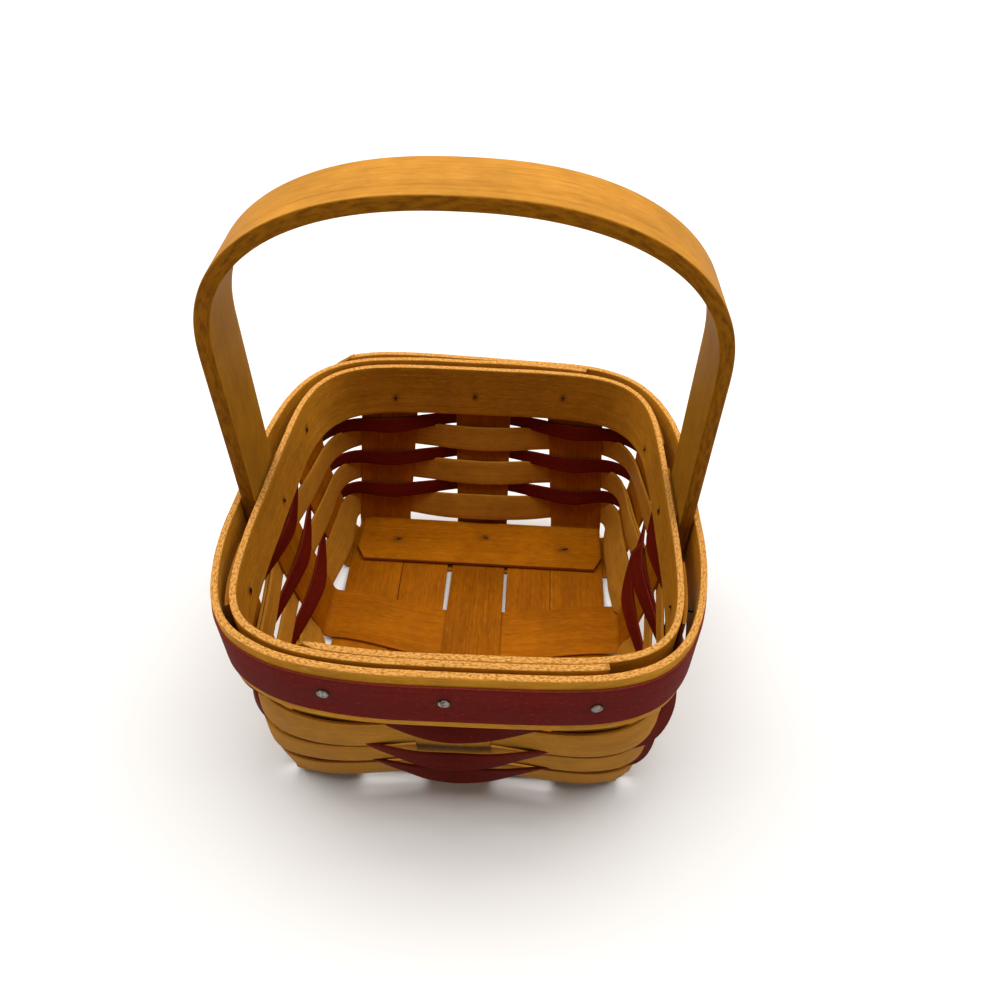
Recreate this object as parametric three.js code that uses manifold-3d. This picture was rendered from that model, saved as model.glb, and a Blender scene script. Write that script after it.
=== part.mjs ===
// Rounded-square basket woven from wood splints, with two rim bands and a fixed bentwood handle.
// Millimetres. X runs left to right, Y front to back, Z up from the table.
import * as THREE from 'three';
import { mergeVertices } from 'three/addons/utils/BufferGeometryUtils.js';
import loadManifold from 'manifold-3d';

const wasm = await loadManifold();
wasm.setup();

// Clearances
const fitGap = 0.3; // between splints that lie on each other
const holeGap = 0.25; // round the shank of a tack
const seatGap = 0.2; // under the head of a tack

// Stakes: the wide splints that cross the floor and stand up in the walls
const stakeWidth = 22;
const stakeThickness = 1;
const stakeSpacing = 43; // on the floor
const rimStakeSpacing = 38.5; // between the bands
const stakeTopDrop = 2; // stake ends below the top of the bands

// Floor
const floorMargin = 0.5; // from the outer stake's edge to the start of the upward bend
const bendRadius = 3.5;
const fillerSlit = 1.6; // open slit between a filler and the centre stake
const fillerJoint = 0.6; // closed joint between a filler and the outer stake
const weaveRun = 18; // length over which a floor splint climbs from one level to the next
const cleatThickness = 1.8;
const cleatInset = 1.5; // from the outer stake's edge to the cleat's end
const cleatChamfer = 5;
const cleatShift = 1.5; // towards the wall from the middle of the cross stake

// Walls: the plan is a square with rounded corners, and a lower power makes it rounder
const flareX = 7.6; // how far the side walls lean out
const flareY = 7.7; // how far the front and back walls lean out
const flareEase = 1.5; // above 1 the wall stands up towards the rim
const footPower = 16;
const rimPower = 4.8;

// Weavers, from the lowest row up
const weaverThickness = 0.9;
const naturalBow = 0.4; // extra bow of a natural weaver in front of each stake
const redBow = 2.4; // the narrow red weavers bow out more
const weaverOverrun = 0.8; // a weaver turns this far beyond the stake's edge
const naturalHeight = 11.6;
const redHeight = 5.2;
const rowNames = ['low', 'middle', 'high']; // each row is one natural and one red weaver
const rowGap = 0.3;
const firstRowHeight = 8.6;

// Bands, trim and handle
const bandClear = 1.7; // from the top row to the bands
const bandHeight = 22.5;
const bandThickness = 2.2;
const trimThickness = 0.6;
const trimGap = 0.2; // between the outer band and the trim on it
const trimHeight = 15.6;
const trimTopMargin = 2.2;
const handleWidth = 23;
const handleThickness = 4;
const handleEdge = 0.9; // rounding of the handle's long edges
const handleLegRise = 54; // straight leg above the bands
const handleLegLean = 1.1; // the legs lean in above the bands
const handleArchRise = 48;
const handleArchPower = 2.3;
const handleFootRise = 1; // the leg's end above the lower edge of the bands
const handleRoom = 4; // stretch beside the leg where the outer band still runs straight
const handleEase = 25; // turn in degrees over which the outer band comes back to the stakes

// Where the bands lap, as angles in degrees from +X round to +Y
const innerLapStart = 240;
const innerLapEnd = 303;
const outerLapStart = 62;
const outerLapEnd = 128;
const lapEase = 20; // turn over which a band steps aside for its own end

// Tacks
const tackHeadRadius = 2;
const tackHeadHeight = 0.8;
const tackCrownRadius = 1.5; // where the domed head turns down
const tackCrownDrop = 0.15;
const tackRimHeight = 0.2; // upright edge of the head
const tackShankRadius = 0.7;
const tackPointLength = 2;
const tackTipOut = 0.5;
const flushHeadHeight = 0.4; // thinner heads under the floor
const tackSides = 8;
const holeSides = 6;

// Hand-driven tacks: shift along the wall and up from the middle of stake and band, outer, centre, outer
const rimTackShift = {
  front: [[6.5, 2.8], [-2, 3], [0, 1]],
  back: [[4, -3], [-3, -1], [-7, 0.5]],
  left: [[4, -1], [5, -3], [-2, 2]],
  right: [[3, 0], [5, 0], [1, -3]],
};
const floorTackShift = [[7, 2], [1.5, 5], [-7, 0]];

// Levels and sizes that follow from the values above
const lowLevel = stakeThickness / 2;
const midLevel = lowLevel + stakeThickness + fitGap;
const highLevel = midLevel + stakeThickness + fitGap;
const stakeReach = stakeSpacing + stakeWidth / 2;
const footHalf = stakeReach + floorMargin + bendRadius;
const footHeight = midLevel + bendRadius;
const rowPitch = naturalHeight + redHeight + 2 * rowGap;
const bandLow = firstRowHeight + rowNames.length * rowPitch - rowGap + bandClear;
const bandHigh = bandLow + bandHeight;
const lapStep = bandThickness + fitGap;
const rimShift = -lapStep / 2; // the rings sit forward by half a lap, so front and back balance
const rimHalfX = footHalf + flareX;
const rimHalfY = footHalf + flareY;
const weaveOffset = stakeThickness / 2 + fitGap + weaverThickness / 2;
const bandOffset = stakeThickness / 2 + fitGap + bandThickness / 2;
const handleStep = handleThickness + fitGap;
const handleAngle = Math.atan2(handleWidth / 2 + handleRoom, rimHalfX);
const ringStep = THREE.MathUtils.degToRad(3);

const smooth = THREE.MathUtils.smoothstep;
const radians = THREE.MathUtils.degToRad;

const woodHoney = new THREE.MeshStandardMaterial({ color: 0xb9782c, roughness: 0.55, metalness: 0 });
const woodGold = new THREE.MeshStandardMaterial({ color: 0xc98f3c, roughness: 0.5, metalness: 0 });
const woodPale = new THREE.MeshStandardMaterial({ color: 0xb98a43, roughness: 0.6, metalness: 0 });
const redStain = new THREE.MeshStandardMaterial({ color: 0x661a18, roughness: 0.7, metalness: 0 });
const steel = new THREE.MeshStandardMaterial({ color: 0x8d8a84, roughness: 0.4, metalness: 1 });

const basket = new THREE.Group();

function addPiece(name, geometry, material) {
  const mesh = new THREE.Mesh(geometry, material.clone());
  mesh.name = name;
  basket.add(mesh);
  return mesh;
}

// Skin round a row of equal sections; a section lists one long side, then the other side back
function sweepSections(sections, isLoop) {
  const count = sections[0].length;
  const indices = [];
  const quad = (a, b, c, d) => indices.push(a, b, c, a, c, d);
  const spans = isLoop ? sections.length : sections.length - 1;
  for (let i = 0; i < spans; i += 1) {
    const here = i * count;
    const next = ((i + 1) % sections.length) * count;
    for (let j = 0; j < count; j += 1) {
      const k = (j + 1) % count;
      quad(here + j, next + j, next + k, here + k);
    }
  }
  const last = spans * count;
  for (let j = 0; !isLoop && j < count / 2 - 1; j += 1) {
    const across = count - 1 - j;
    quad(j, j + 1, across - 1, across);
    quad(last + across, last + across - 1, last + j + 1, last + j);
  }
  const points = sections.flat();
  const triple = new THREE.Vector3();
  let volume = 0;
  for (let i = 0; i < indices.length; i += 3) {
    triple.crossVectors(points[indices[i]], points[indices[i + 1]]);
    volume += triple.dot(points[indices[i + 2]]);
  }
  const geometry = new THREE.BufferGeometry().setFromPoints(points);
  geometry.setIndex(volume < 0 ? indices.reverse() : indices);
  return geometry;
}

const mergeDistance = 1e-4;

function toSolid(geometry) {
  const bare = geometry.clone();
  bare.deleteAttribute('normal');
  bare.deleteAttribute('uv');
  const merged = mergeVertices(bare, mergeDistance);
  const vertProperties = new Float32Array(merged.attributes.position.array);
  const triVerts = new Uint32Array(merged.index.array);
  return new wasm.Manifold(new wasm.Mesh({ numProp: 3, vertProperties, triVerts }));
}

function cutAway(geometry, tools) {
  let solid = toSolid(geometry);
  tools.forEach((tool) => {
    solid = solid.subtract(toSolid(tool));
  });
  const { vertProperties, triVerts } = solid.getMesh();
  const result = new THREE.BufferGeometry();
  result.setAttribute('position', new THREE.BufferAttribute(vertProperties, 3));
  result.setIndex(new THREE.BufferAttribute(triVerts, 1));
  return result;
}

// Plan of the wall's middle surface at a height: it opens and rounds from the floor to the bands
function wallRing(height) {
  const climb = THREE.MathUtils.clamp((height - footHeight) / (bandLow - footHeight), 0, 1);
  const ease = 1 - (1 - climb) ** flareEase;
  return {
    climb,
    halfX: footHalf + flareX * ease,
    halfY: footHalf + flareY * ease,
    centreY: rimShift * ease,
    power: 1 / THREE.MathUtils.lerp(1 / footPower, 1 / rimPower, climb),
  };
}

function ringPoint(ring, angle) {
  const c = Math.cos(angle);
  const s = Math.sin(angle);
  const reach = (Math.abs(c) / ring.halfX) ** ring.power + (Math.abs(s) / ring.halfY) ** ring.power;
  const radius = reach ** (-1 / ring.power);
  return new THREE.Vector2(radius * c, ring.centreY + radius * s);
}

function ringNormal(ring, angle) {
  const point = ringPoint(ring, angle);
  const x = point.x / ring.halfX;
  const y = (point.y - ring.centreY) / ring.halfY;
  const steepX = Math.sign(x) * Math.abs(x) ** (ring.power - 1) / ring.halfX;
  const steepY = Math.sign(y) * Math.abs(y) ** (ring.power - 1) / ring.halfY;
  return new THREE.Vector2(steepX, steepY).normalize();
}

function ringOffset(ring, angle, offset, height) {
  const point = ringPoint(ring, angle).addScaledVector(ringNormal(ring, angle), offset);
  return new THREE.Vector3(point.x, point.y, height);
}

// The four walls in the order of the angle: each crosses the ring's axis at its own angle
const walls = [
  { name: 'right', alongX: false, side: 1 },
  { name: 'back', alongX: true, side: 1 },
  { name: 'left', alongX: false, side: -1 },
  { name: 'front', alongX: true, side: -1 },
];

// Distance of a wall from the middle at a place along it
function wallDepth(ring, wall, lateral) {
  const along = wall.alongX ? ring.halfX : ring.halfY;
  const depth = wall.alongX ? ring.halfY : ring.halfX;
  const share = (Math.abs(lateral) / along) ** ring.power;
  return depth * Math.max(1 - share, 0) ** (1 / ring.power);
}

function wallAngle(ring, wall, lateral) {
  const depth = wall.side * wallDepth(ring, wall, lateral);
  const angle = wall.alongX ? Math.atan2(depth, lateral) : Math.atan2(lateral, depth);
  return THREE.MathUtils.euclideanModulo(angle, 2 * Math.PI);
}

function spacingAt(climb) {
  return THREE.MathUtils.lerp(stakeSpacing, rimStakeSpacing, climb);
}

const widthSteps = [-0.5, -0.25, 0, 0.25, 0.5];

// Strip of splint over a grid of middle points, thickened on both sides along the grid's normals
function splint(grid, thickness) {
  const rows = grid.length;
  const columns = grid[0].length;
  const sections = grid.map((row, i) => {
    const before = grid[Math.max(i - 1, 0)];
    const after = grid[Math.min(i + 1, rows - 1)];
    const offsets = row.map((point, j) => {
      const along = after[j].clone().sub(before[j]);
      const across = row[Math.min(j + 1, columns - 1)].clone().sub(row[Math.max(j - 1, 0)]);
      return along.cross(across).setLength(thickness / 2);
    });
    const upper = row.map((point, j) => point.clone().add(offsets[j]));
    const lower = row.map((point, j) => point.clone().sub(offsets[j])).reverse();
    return upper.concat(lower);
  });
  return sweepSections(sections, false);
}

// Height of a floor splint along its length: level at the outer crossings, other at the middle one
function floorHeight(depth, level, crossing) {
  const start = stakeWidth / 2 + fitGap;
  return THREE.MathUtils.lerp(crossing, level, smooth(Math.abs(depth), start, start + weaveRun));
}

const climbSteps = [1, 0.8, 0.6, 0.4, 0.2];
const bendSteps = [90, 60, 30]; // degrees of the bend, from the wall down to the floor
const runSteps = [1, 0.75, 0.5, 0.25, 0];

function floorStations(half) {
  const start = stakeWidth / 2 + fitGap;
  const oneSide = [half].concat(runSteps.map((step) => start + step * weaveRun));
  return oneSide.map((depth) => -depth).concat(oneSide.reverse());
}

// A stake up one wall, across the floor and up the opposite wall
function stakeGeometry(alongX, place, level, crossing) {
  const radius = footHeight - level;
  const flatHalf = footHalf - radius;
  const toPoint = (lateral, depth, height) => (
    alongX ? new THREE.Vector3(lateral, depth, height) : new THREE.Vector3(depth, lateral, height)
  );
  const wallPoint = (side, height, step) => {
    const ring = wallRing(height);
    const lateral = place * spacingAt(ring.climb) + step * stakeWidth;
    const depth = side * wallDepth(ring, { alongX }, lateral);
    const shiftX = alongX ? 0 : ring.centreY;
    const shiftY = alongX ? ring.centreY : 0;
    return toPoint(lateral + shiftX, depth + shiftY, height);
  };
  const bendPoint = (side, degrees, step) => {
    const lateral = place * stakeSpacing + step * stakeWidth;
    const footDepth = wallDepth(wallRing(footHeight), { alongX }, lateral);
    const depth = flatHalf + (footDepth - flatHalf) * Math.sin(radians(degrees));
    const height = footHeight - radius * Math.cos(radians(degrees));
    return toPoint(lateral, side * depth, height);
  };
  const floorPoint = (depth, step) => {
    const lateral = place * stakeSpacing + step * stakeWidth;
    return toPoint(lateral, depth, floorHeight(depth, level, crossing));
  };
  const wallHeights = climbSteps.map((step) => THREE.MathUtils.lerp(footHeight, bandLow, step));
  wallHeights.unshift(bandHigh - stakeTopDrop);
  const oneWall = (side) => {
    const wall = wallHeights.map((height) => widthSteps.map((step) => wallPoint(side, height, step)));
    const bend = bendSteps.map((degrees) => widthSteps.map((step) => bendPoint(side, degrees, step)));
    return wall.concat(bend);
  };
  const floor = floorStations(flatHalf).map((depth) => widthSteps.map((step) => floorPoint(depth, step)));
  return splint(oneWall(-1).concat(floor, oneWall(1).reverse()), stakeThickness);
}

// Layers of the rim, all measured outwards from the stakes' middle surface
const rimRing = wallRing(bandLow);
const turn = 2 * Math.PI;

// Room that the outer band leaves for the handle's legs at the two side walls
function handleBulge(angle) {
  const fromAxis = Math.abs(Math.asin(Math.sin(angle)));
  return handleStep * (1 - smooth(fromAxis, handleAngle, handleAngle + radians(handleEase)));
}

// 1 where the inner band's first end lies inside its other layer, easing to 0 beyond the lap
function innerLap(angle) {
  const from = THREE.MathUtils.euclideanModulo(angle - radians(innerLapStart), turn);
  const end = radians(innerLapEnd - innerLapStart);
  return 1 - smooth(from, end, end + radians(lapEase));
}

// 1 where the outer band's last end lies over its other layer, with an easing before it
function outerLap(angle) {
  const before = radians(lapEase);
  const from = THREE.MathUtils.euclideanModulo(angle - radians(outerLapStart) + before, turn);
  const end = before + radians(outerLapEnd - outerLapStart);
  return smooth(from, 0, before) * (1 - smooth(from, end, end + before));
}

// The same even steps for every ring, so that neighbouring layers stay parallel
function ringAngles(start, end) {
  const first = Math.floor(start / ringStep) + 1;
  const count = Math.ceil(end / ringStep) - first;
  const steps = Array.from({ length: count }, (unused, i) => (first + i) * ringStep);
  return [start, ...steps, end];
}

// Band round the rim; offsetAt gives the place of its middle for each angle
function bandGeometry(angles, isLoop, low, high, thickness, offsetAt) {
  const sections = angles.map((angle) => {
    const inside = offsetAt(angle) - thickness / 2;
    const outside = inside + thickness;
    return [
      ringOffset(rimRing, angle, inside, low),
      ringOffset(rimRing, angle, inside, high),
      ringOffset(rimRing, angle, outside, high),
      ringOffset(rimRing, angle, outside, low),
    ];
  });
  return sweepSections(sections, isLoop);
}

function innerBandGeometry() {
  const start = radians(innerLapStart);
  const end = radians(innerLapEnd) + turn;
  const offsetAt = (angle) => {
    const firstLayer = angle - start < Math.PI ? innerLap(angle) : 0;
    return -bandOffset - lapStep * firstLayer;
  };
  return bandGeometry(ringAngles(start, end), false, bandLow, bandHigh, bandThickness, offsetAt);
}

function outerBandGeometry() {
  const start = radians(outerLapStart);
  const end = radians(outerLapEnd) + turn;
  const offsetAt = (angle) => {
    const lastLayer = angle - start > Math.PI ? outerLap(angle) : 0;
    return bandOffset + handleBulge(angle) + lapStep * lastLayer;
  };
  return bandGeometry(ringAngles(start, end), false, bandLow, bandHigh, bandThickness, offsetAt);
}

const trimOffset = bandOffset + bandThickness / 2 + trimGap + trimThickness / 2;

function trimMiddle(angle) {
  return trimOffset + handleBulge(angle) + lapStep * outerLap(angle);
}

function trimGeometry() {
  const angles = ringAngles(0, turn).slice(0, -1);
  const high = bandHigh - trimTopMargin;
  return bandGeometry(angles, true, high - trimHeight, high, trimThickness, trimMiddle);
}

// The stakes in the order that a weaver meets them: three on each wall
const crossings = walls.flatMap((wall) => {
  const backwards = wall.side > 0 === wall.alongX;
  return (backwards ? [1, 0, -1] : [-1, 0, 1]).map((place) => ({ wall, place, backwards }));
});
const firstCrossing = 1; // the list starts at the front end of the right wall
const gapSteps = [0.25, 0.5, 0.75];
const weaverLapCount = 1; // stakes past its first one that a weaver laps
const naturalLapStart = [7, 0, 7]; // the crossing where each natural weaver starts
const redLapStart = [8, 11, 8];

// One weaver: from its first stake once round, then lapping over the first stakes again
function weaverGeometry(low, high, sign, bowMost, lapStart) {
  const ring = wallRing((low + high) / 2);
  const lowRing = wallRing(low);
  const highRing = wallRing(high);
  const doubled = weaverThickness + fitGap;
  const stops = [];
  for (let visit = 0; visit <= crossings.length + weaverLapCount; visit += 1) {
    const index = (lapStart + visit) % crossings.length;
    const { wall, place, backwards } = crossings[index];
    const outside = (index + firstCrossing) % 2 === 0 ? sign : -sign;
    const isUnder = visit <= weaverLapCount && outside < 0;
    const isOver = visit >= crossings.length && outside > 0;
    const extra = isUnder || isOver ? doubled : 0;
    const steps = backwards ? widthSteps.slice().reverse() : widthSteps;
    steps.forEach((step) => {
      const lateral = place * spacingAt(ring.climb) + step * (stakeWidth + 2 * weaverOverrun);
      const bow = bowMost * (1 - (2 * step) ** 2);
      const offset = outside * (weaveOffset + extra + bow);
      stops.push({ angle: wallAngle(ring, wall, lateral), offset });
    });
  }
  const path = [];
  stops.forEach((stop, i) => {
    const last = path.at(-1);
    const ahead = last ? THREE.MathUtils.euclideanModulo(stop.angle - last.angle, turn) : 0;
    const angle = last ? last.angle + ahead : stop.angle;
    if (last && i % widthSteps.length === 0) {
      gapSteps.forEach((share) => {
        const between = THREE.MathUtils.lerp(last.offset, stop.offset, smooth(share, 0, 1));
        path.push({ angle: THREE.MathUtils.lerp(last.angle, angle, share), offset: between });
      });
    }
    path.push({ angle, offset: stop.offset });
  });
  const sections = path.map(({ angle, offset }) => {
    const inside = offset - weaverThickness / 2;
    const outside = offset + weaverThickness / 2;
    return [
      ringOffset(lowRing, angle, inside, low),
      ringOffset(highRing, angle, inside, high),
      ringOffset(highRing, angle, outside, high),
      ringOffset(lowRing, angle, outside, low),
    ];
  });
  return sweepSections(sections, false);
}

// Handle: straight legs and an arch, drawn from the side and given its width along Y
const handleOuterHalf = rimHalfX + stakeThickness / 2 + fitGap + handleThickness;
const archSteps = 24;

function archPoint(half, rise, share) {
  const c = Math.cos(share * Math.PI);
  const s = Math.sin(share * Math.PI);
  const x = half * Math.sign(c) * Math.abs(c) ** (2 / handleArchPower);
  const height = bandHigh + handleLegRise + rise * s ** (2 / handleArchPower);
  return new THREE.Vector2(x, height);
}

function handleGeometry() {
  const foot = bandLow + handleFootRise;
  const line = (half, rise) => {
    const count = Math.round(archSteps);
    const shares = Array.from({ length: count + 1 }, (unused, i) => i / count);
    const arch = shares.map((share) => archPoint(half, rise, share));
    const legTop = half + handleLegLean;
    const leg = [new THREE.Vector2(legTop, foot), new THREE.Vector2(legTop, bandHigh)];
    const otherLeg = [new THREE.Vector2(-legTop, bandHigh), new THREE.Vector2(-legTop, foot)];
    return [...leg, ...arch, ...otherLeg];
  };
  const outerHalf = handleOuterHalf - handleLegLean;
  const outer = line(outerHalf, handleArchRise);
  const inner = line(outerHalf - handleThickness, handleArchRise - handleThickness);
  const outline = new THREE.Shape(outer.concat(inner.reverse()));
  const flat = handleWidth - 2 * handleEdge;
  const geometry = new THREE.ExtrudeGeometry(outline, {
    depth: flat,
    bevelThickness: handleEdge,
    bevelSize: handleEdge,
    bevelOffset: -handleEdge,
    bevelSegments: 2,
  });
  return geometry.translate(0, 0, -flat / 2).rotateX(Math.PI / 2);
}

function tackGeometry(length, headHeight) {
  const profile = [
    [0, headHeight],
    [tackCrownRadius, headHeight - tackCrownDrop],
    [tackHeadRadius, tackRimHeight],
    [tackHeadRadius, 0],
    [tackShankRadius, 0],
    [tackShankRadius, tackPointLength - length],
    [0, -length],
  ];
  const points = profile.reverse().map(([radius, height]) => new THREE.Vector2(radius, height));
  return new THREE.LatheGeometry(points, tackSides).rotateX(Math.PI / 2);
}

// Round tool along a line from one point to another, for the hole of a tack
function drill(from, to, radius) {
  const span = to.clone().sub(from);
  const tool = new THREE.CylinderGeometry(radius, radius, span.length(), holeSides);
  const up = new THREE.Vector3(0, 1, 0);
  tool.applyQuaternion(new THREE.Quaternion().setFromUnitVectors(up, span.clone().normalize()));
  return tool.translate(...from.clone().add(to).multiplyScalar(0.5).toArray());
}

// Rim tacks: one at each stake, from the trim through every layer of the rim
const rimTacks = crossings.map(({ wall, place }) => {
  const [along, up] = rimTackShift[wall.name][place + 1];
  const angle = wallAngle(rimRing, wall, place * rimStakeSpacing + along);
  const height = (bandLow + bandHigh) / 2 + up;
  const trimFace = (at) => ringOffset(rimRing, at, trimMiddle(at) + trimThickness / 2, height);
  const onward = trimFace(angle + ringStep / 2).sub(trimFace(angle - ringStep / 2));
  const outwards = new THREE.Vector3(onward.y, -onward.x, 0).normalize();
  const seat = trimFace(angle).addScaledVector(outwards, seatGap);
  const bandInside = bandOffset + bandThickness / 2 + lapStep * innerLap(angle);
  const length = seatGap + trimMiddle(angle) + trimThickness / 2 + bandInside + tackTipOut;
  const hole = drill(
    seat.clone().addScaledVector(outwards, tackHeadHeight),
    seat.clone().addScaledVector(outwards, -length - tackHeadHeight),
    tackShankRadius + holeGap,
  );
  return { wall, place, length, seat, outwards, hole };
});

const cleatLow = midLevel + stakeThickness / 2 + fitGap;
const cleatHigh = cleatLow + cleatThickness;

// Floor tacks: up through a cross stake, a stake and the cleat, with thin heads let in flush
const floorTacks = [-1, 1].flatMap((side) => [-1, 0, 1].map((place) => {
  const [shiftX, shiftY] = floorTackShift[place + 1];
  const x = place * stakeSpacing + shiftX;
  const y = side * stakeSpacing + shiftY;
  const seat = new THREE.Vector3(x, y, flushHeadHeight + seatGap / 2);
  const length = cleatHigh + tackTipOut - seat.z;
  const above = new THREE.Vector3(x, y, cleatHigh + cleatThickness);
  const below = new THREE.Vector3(x, y, -stakeThickness);
  const pocketTop = new THREE.Vector3(x, y, seat.z + seatGap / 2);
  return {
    side,
    place,
    seat,
    length,
    hole: drill(below, above, tackShankRadius + holeGap),
    pocket: drill(below, pocketTop, tackHeadRadius + holeGap),
  };
}));

const rimHoles = (keep) => rimTacks.filter(keep).map((tack) => tack.hole);

// Floor and walls
const stakeNames = ['left', 'centre', 'right'];
[-1, 0, 1].forEach((place) => {
  const crossing = place === 0 ? highLevel : lowLevel;
  const holes = rimHoles((tack) => tack.wall.alongX && tack.place === place);
  const floorHoles = floorTacks.filter((tack) => tack.place === place).map((tack) => tack.hole);
  const geometry = cutAway(stakeGeometry(true, place, midLevel, crossing), holes.concat(floorHoles));
  addPiece(`stake_${stakeNames[place + 1]}`, geometry, woodHoney);
});

const crossNames = ['front', 'middle', 'rear'];
[-1, 0, 1].forEach((place) => {
  const level = place === 0 ? midLevel : lowLevel;
  const holes = rimHoles((tack) => !tack.wall.alongX && tack.place === place);
  const own = place === 0 ? [] : floorTacks.filter((tack) => tack.side === place);
  const floorCuts = own.flatMap((tack) => [tack.hole, tack.pocket]);
  const geometry = cutAway(stakeGeometry(false, place, level, level), holes.concat(floorCuts));
  addPiece(`cross_stake_${crossNames[place + 1]}`, geometry, woodHoney);
});

const fillerWidth = stakeSpacing - stakeWidth - fillerSlit - fillerJoint;
const fillerMiddle = stakeWidth / 2 + fillerSlit + fillerWidth / 2;
[-1, 1].forEach((side) => {
  const grid = floorStations(stakeReach).map((depth) => [-0.5, 0.5].map((step) => {
    const height = floorHeight(depth, midLevel, lowLevel);
    return new THREE.Vector3(side * fillerMiddle + step * fillerWidth, depth, height);
  }));
  const name = side < 0 ? 'floor_filler_left' : 'floor_filler_right';
  addPiece(name, splint(grid, stakeThickness), woodHoney);
});

[-1, 1].forEach((side) => {
  const halfLength = stakeReach - cleatInset;
  const halfWidth = stakeWidth / 2;
  const corners = [[1, 1], [-1, 1], [-1, -1], [1, -1]].flatMap(([x, y]) => {
    const onEnd = new THREE.Vector2(x * halfLength, y * (halfWidth - cleatChamfer));
    const onSide = new THREE.Vector2(x * (halfLength - cleatChamfer), y * halfWidth);
    return x * y > 0 ? [onEnd, onSide] : [onSide, onEnd];
  });
  const outline = new THREE.Shape(corners);
  const plate = new THREE.ExtrudeGeometry(outline, { depth: cleatThickness, bevelEnabled: false });
  plate.translate(0, side * (stakeSpacing + cleatShift), cleatLow);
  const holes = floorTacks.filter((tack) => tack.side === side).map((tack) => tack.hole);
  addPiece(side < 0 ? 'floor_cleat_front' : 'floor_cleat_rear', cutAway(plate, holes), woodHoney);
});

// Weavers: the natural ones lie outside the middle stake of the side walls, the red ones inside it
rowNames.forEach((name, row) => {
  const low = firstRowHeight + row * rowPitch;
  const redLow = low + naturalHeight + rowGap;
  const natural = weaverGeometry(low, low + naturalHeight, 1, naturalBow, naturalLapStart[row]);
  const red = weaverGeometry(redLow, redLow + redHeight, -1, redBow, redLapStart[row]);
  addPiece(`weaver_natural_${name}`, natural, woodPale);
  addPiece(`weaver_red_${name}`, red, redStain);
});

// Rim and handle
const everyRimHole = rimHoles(() => true);
addPiece('inner_band', cutAway(innerBandGeometry(), everyRimHole), woodGold);
addPiece('outer_band', cutAway(outerBandGeometry(), everyRimHole), woodGold);
addPiece('trim_strip', cutAway(trimGeometry(), everyRimHole), redStain);
const legHoles = rimHoles((tack) => !tack.wall.alongX && tack.place === 0);
addPiece('handle', cutAway(handleGeometry(), legHoles), woodGold);

// Tacks
rimTacks.forEach(({ wall, place, length, seat, outwards }) => {
  const mesh = addPiece(`rim_tack_${wall.name}_${place + 2}`, tackGeometry(length, tackHeadHeight), steel);
  mesh.position.copy(seat);
  mesh.quaternion.setFromUnitVectors(new THREE.Vector3(0, 0, 1), outwards);
});

floorTacks.forEach(({ side, place, seat, length }) => {
  const name = `floor_tack_${side < 0 ? 'front' : 'rear'}_${place + 2}`;
  const mesh = addPiece(name, tackGeometry(length, flushHeadHeight), steel);
  mesh.position.copy(seat);
  mesh.rotation.x = Math.PI;
});

export default basket;
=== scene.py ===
from collections import namedtuple
import bpy
import numpy as np
from mathutils import Matrix


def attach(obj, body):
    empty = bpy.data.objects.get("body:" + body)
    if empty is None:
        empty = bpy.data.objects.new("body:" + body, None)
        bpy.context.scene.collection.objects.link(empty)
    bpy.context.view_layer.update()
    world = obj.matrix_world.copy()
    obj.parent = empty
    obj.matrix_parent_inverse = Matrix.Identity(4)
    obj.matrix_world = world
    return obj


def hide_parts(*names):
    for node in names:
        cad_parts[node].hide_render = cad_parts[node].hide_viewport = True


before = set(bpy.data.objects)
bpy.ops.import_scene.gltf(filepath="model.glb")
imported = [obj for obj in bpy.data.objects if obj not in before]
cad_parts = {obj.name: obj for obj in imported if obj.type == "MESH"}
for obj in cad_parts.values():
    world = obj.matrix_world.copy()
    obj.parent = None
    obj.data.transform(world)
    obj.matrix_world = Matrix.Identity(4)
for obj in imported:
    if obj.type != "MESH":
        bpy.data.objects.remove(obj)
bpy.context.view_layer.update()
mm = 0.001
turn = 2 * np.pi
print("frame loaded,", len(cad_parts), "nodes")

# The basket's plan: a square with rounded corners that opens and rounds from floor to bands, in mm
wall = {
    "footHalfX": 58.0, "footHalfY": 57.2, "footShift": 0.8, "footHeight": 5.3, "footPower": 16.0,
    "rimHalfX": 65.6, "rimHalfY": 65.7, "rimShift": -1.25, "rimPower": 4.8, "flareEase": 1.5,
    "bandLow": 62.2, "bandHigh": 84.7,
    "slackAngle": 230.0, "slackSpread": (9.0, 16.0), "slack": 2.1, "frontSlack": 0.5,
    "frontSlackFrom": (0.75, 0.95),
}

# Camera at the photo's view: place in mm, turns in radians, focal length and centre in pixels of a square frame
camera = {
    "place": (16.1, -173.438, 258.731), "yaw": -0.013, "pitch": -0.713, "roll": 0.053,
    "focal": 763.734, "centre": (529.981, 430.802), "frame": 1000.0, "sensor": 36.0, "near": 0.01,
}


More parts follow.
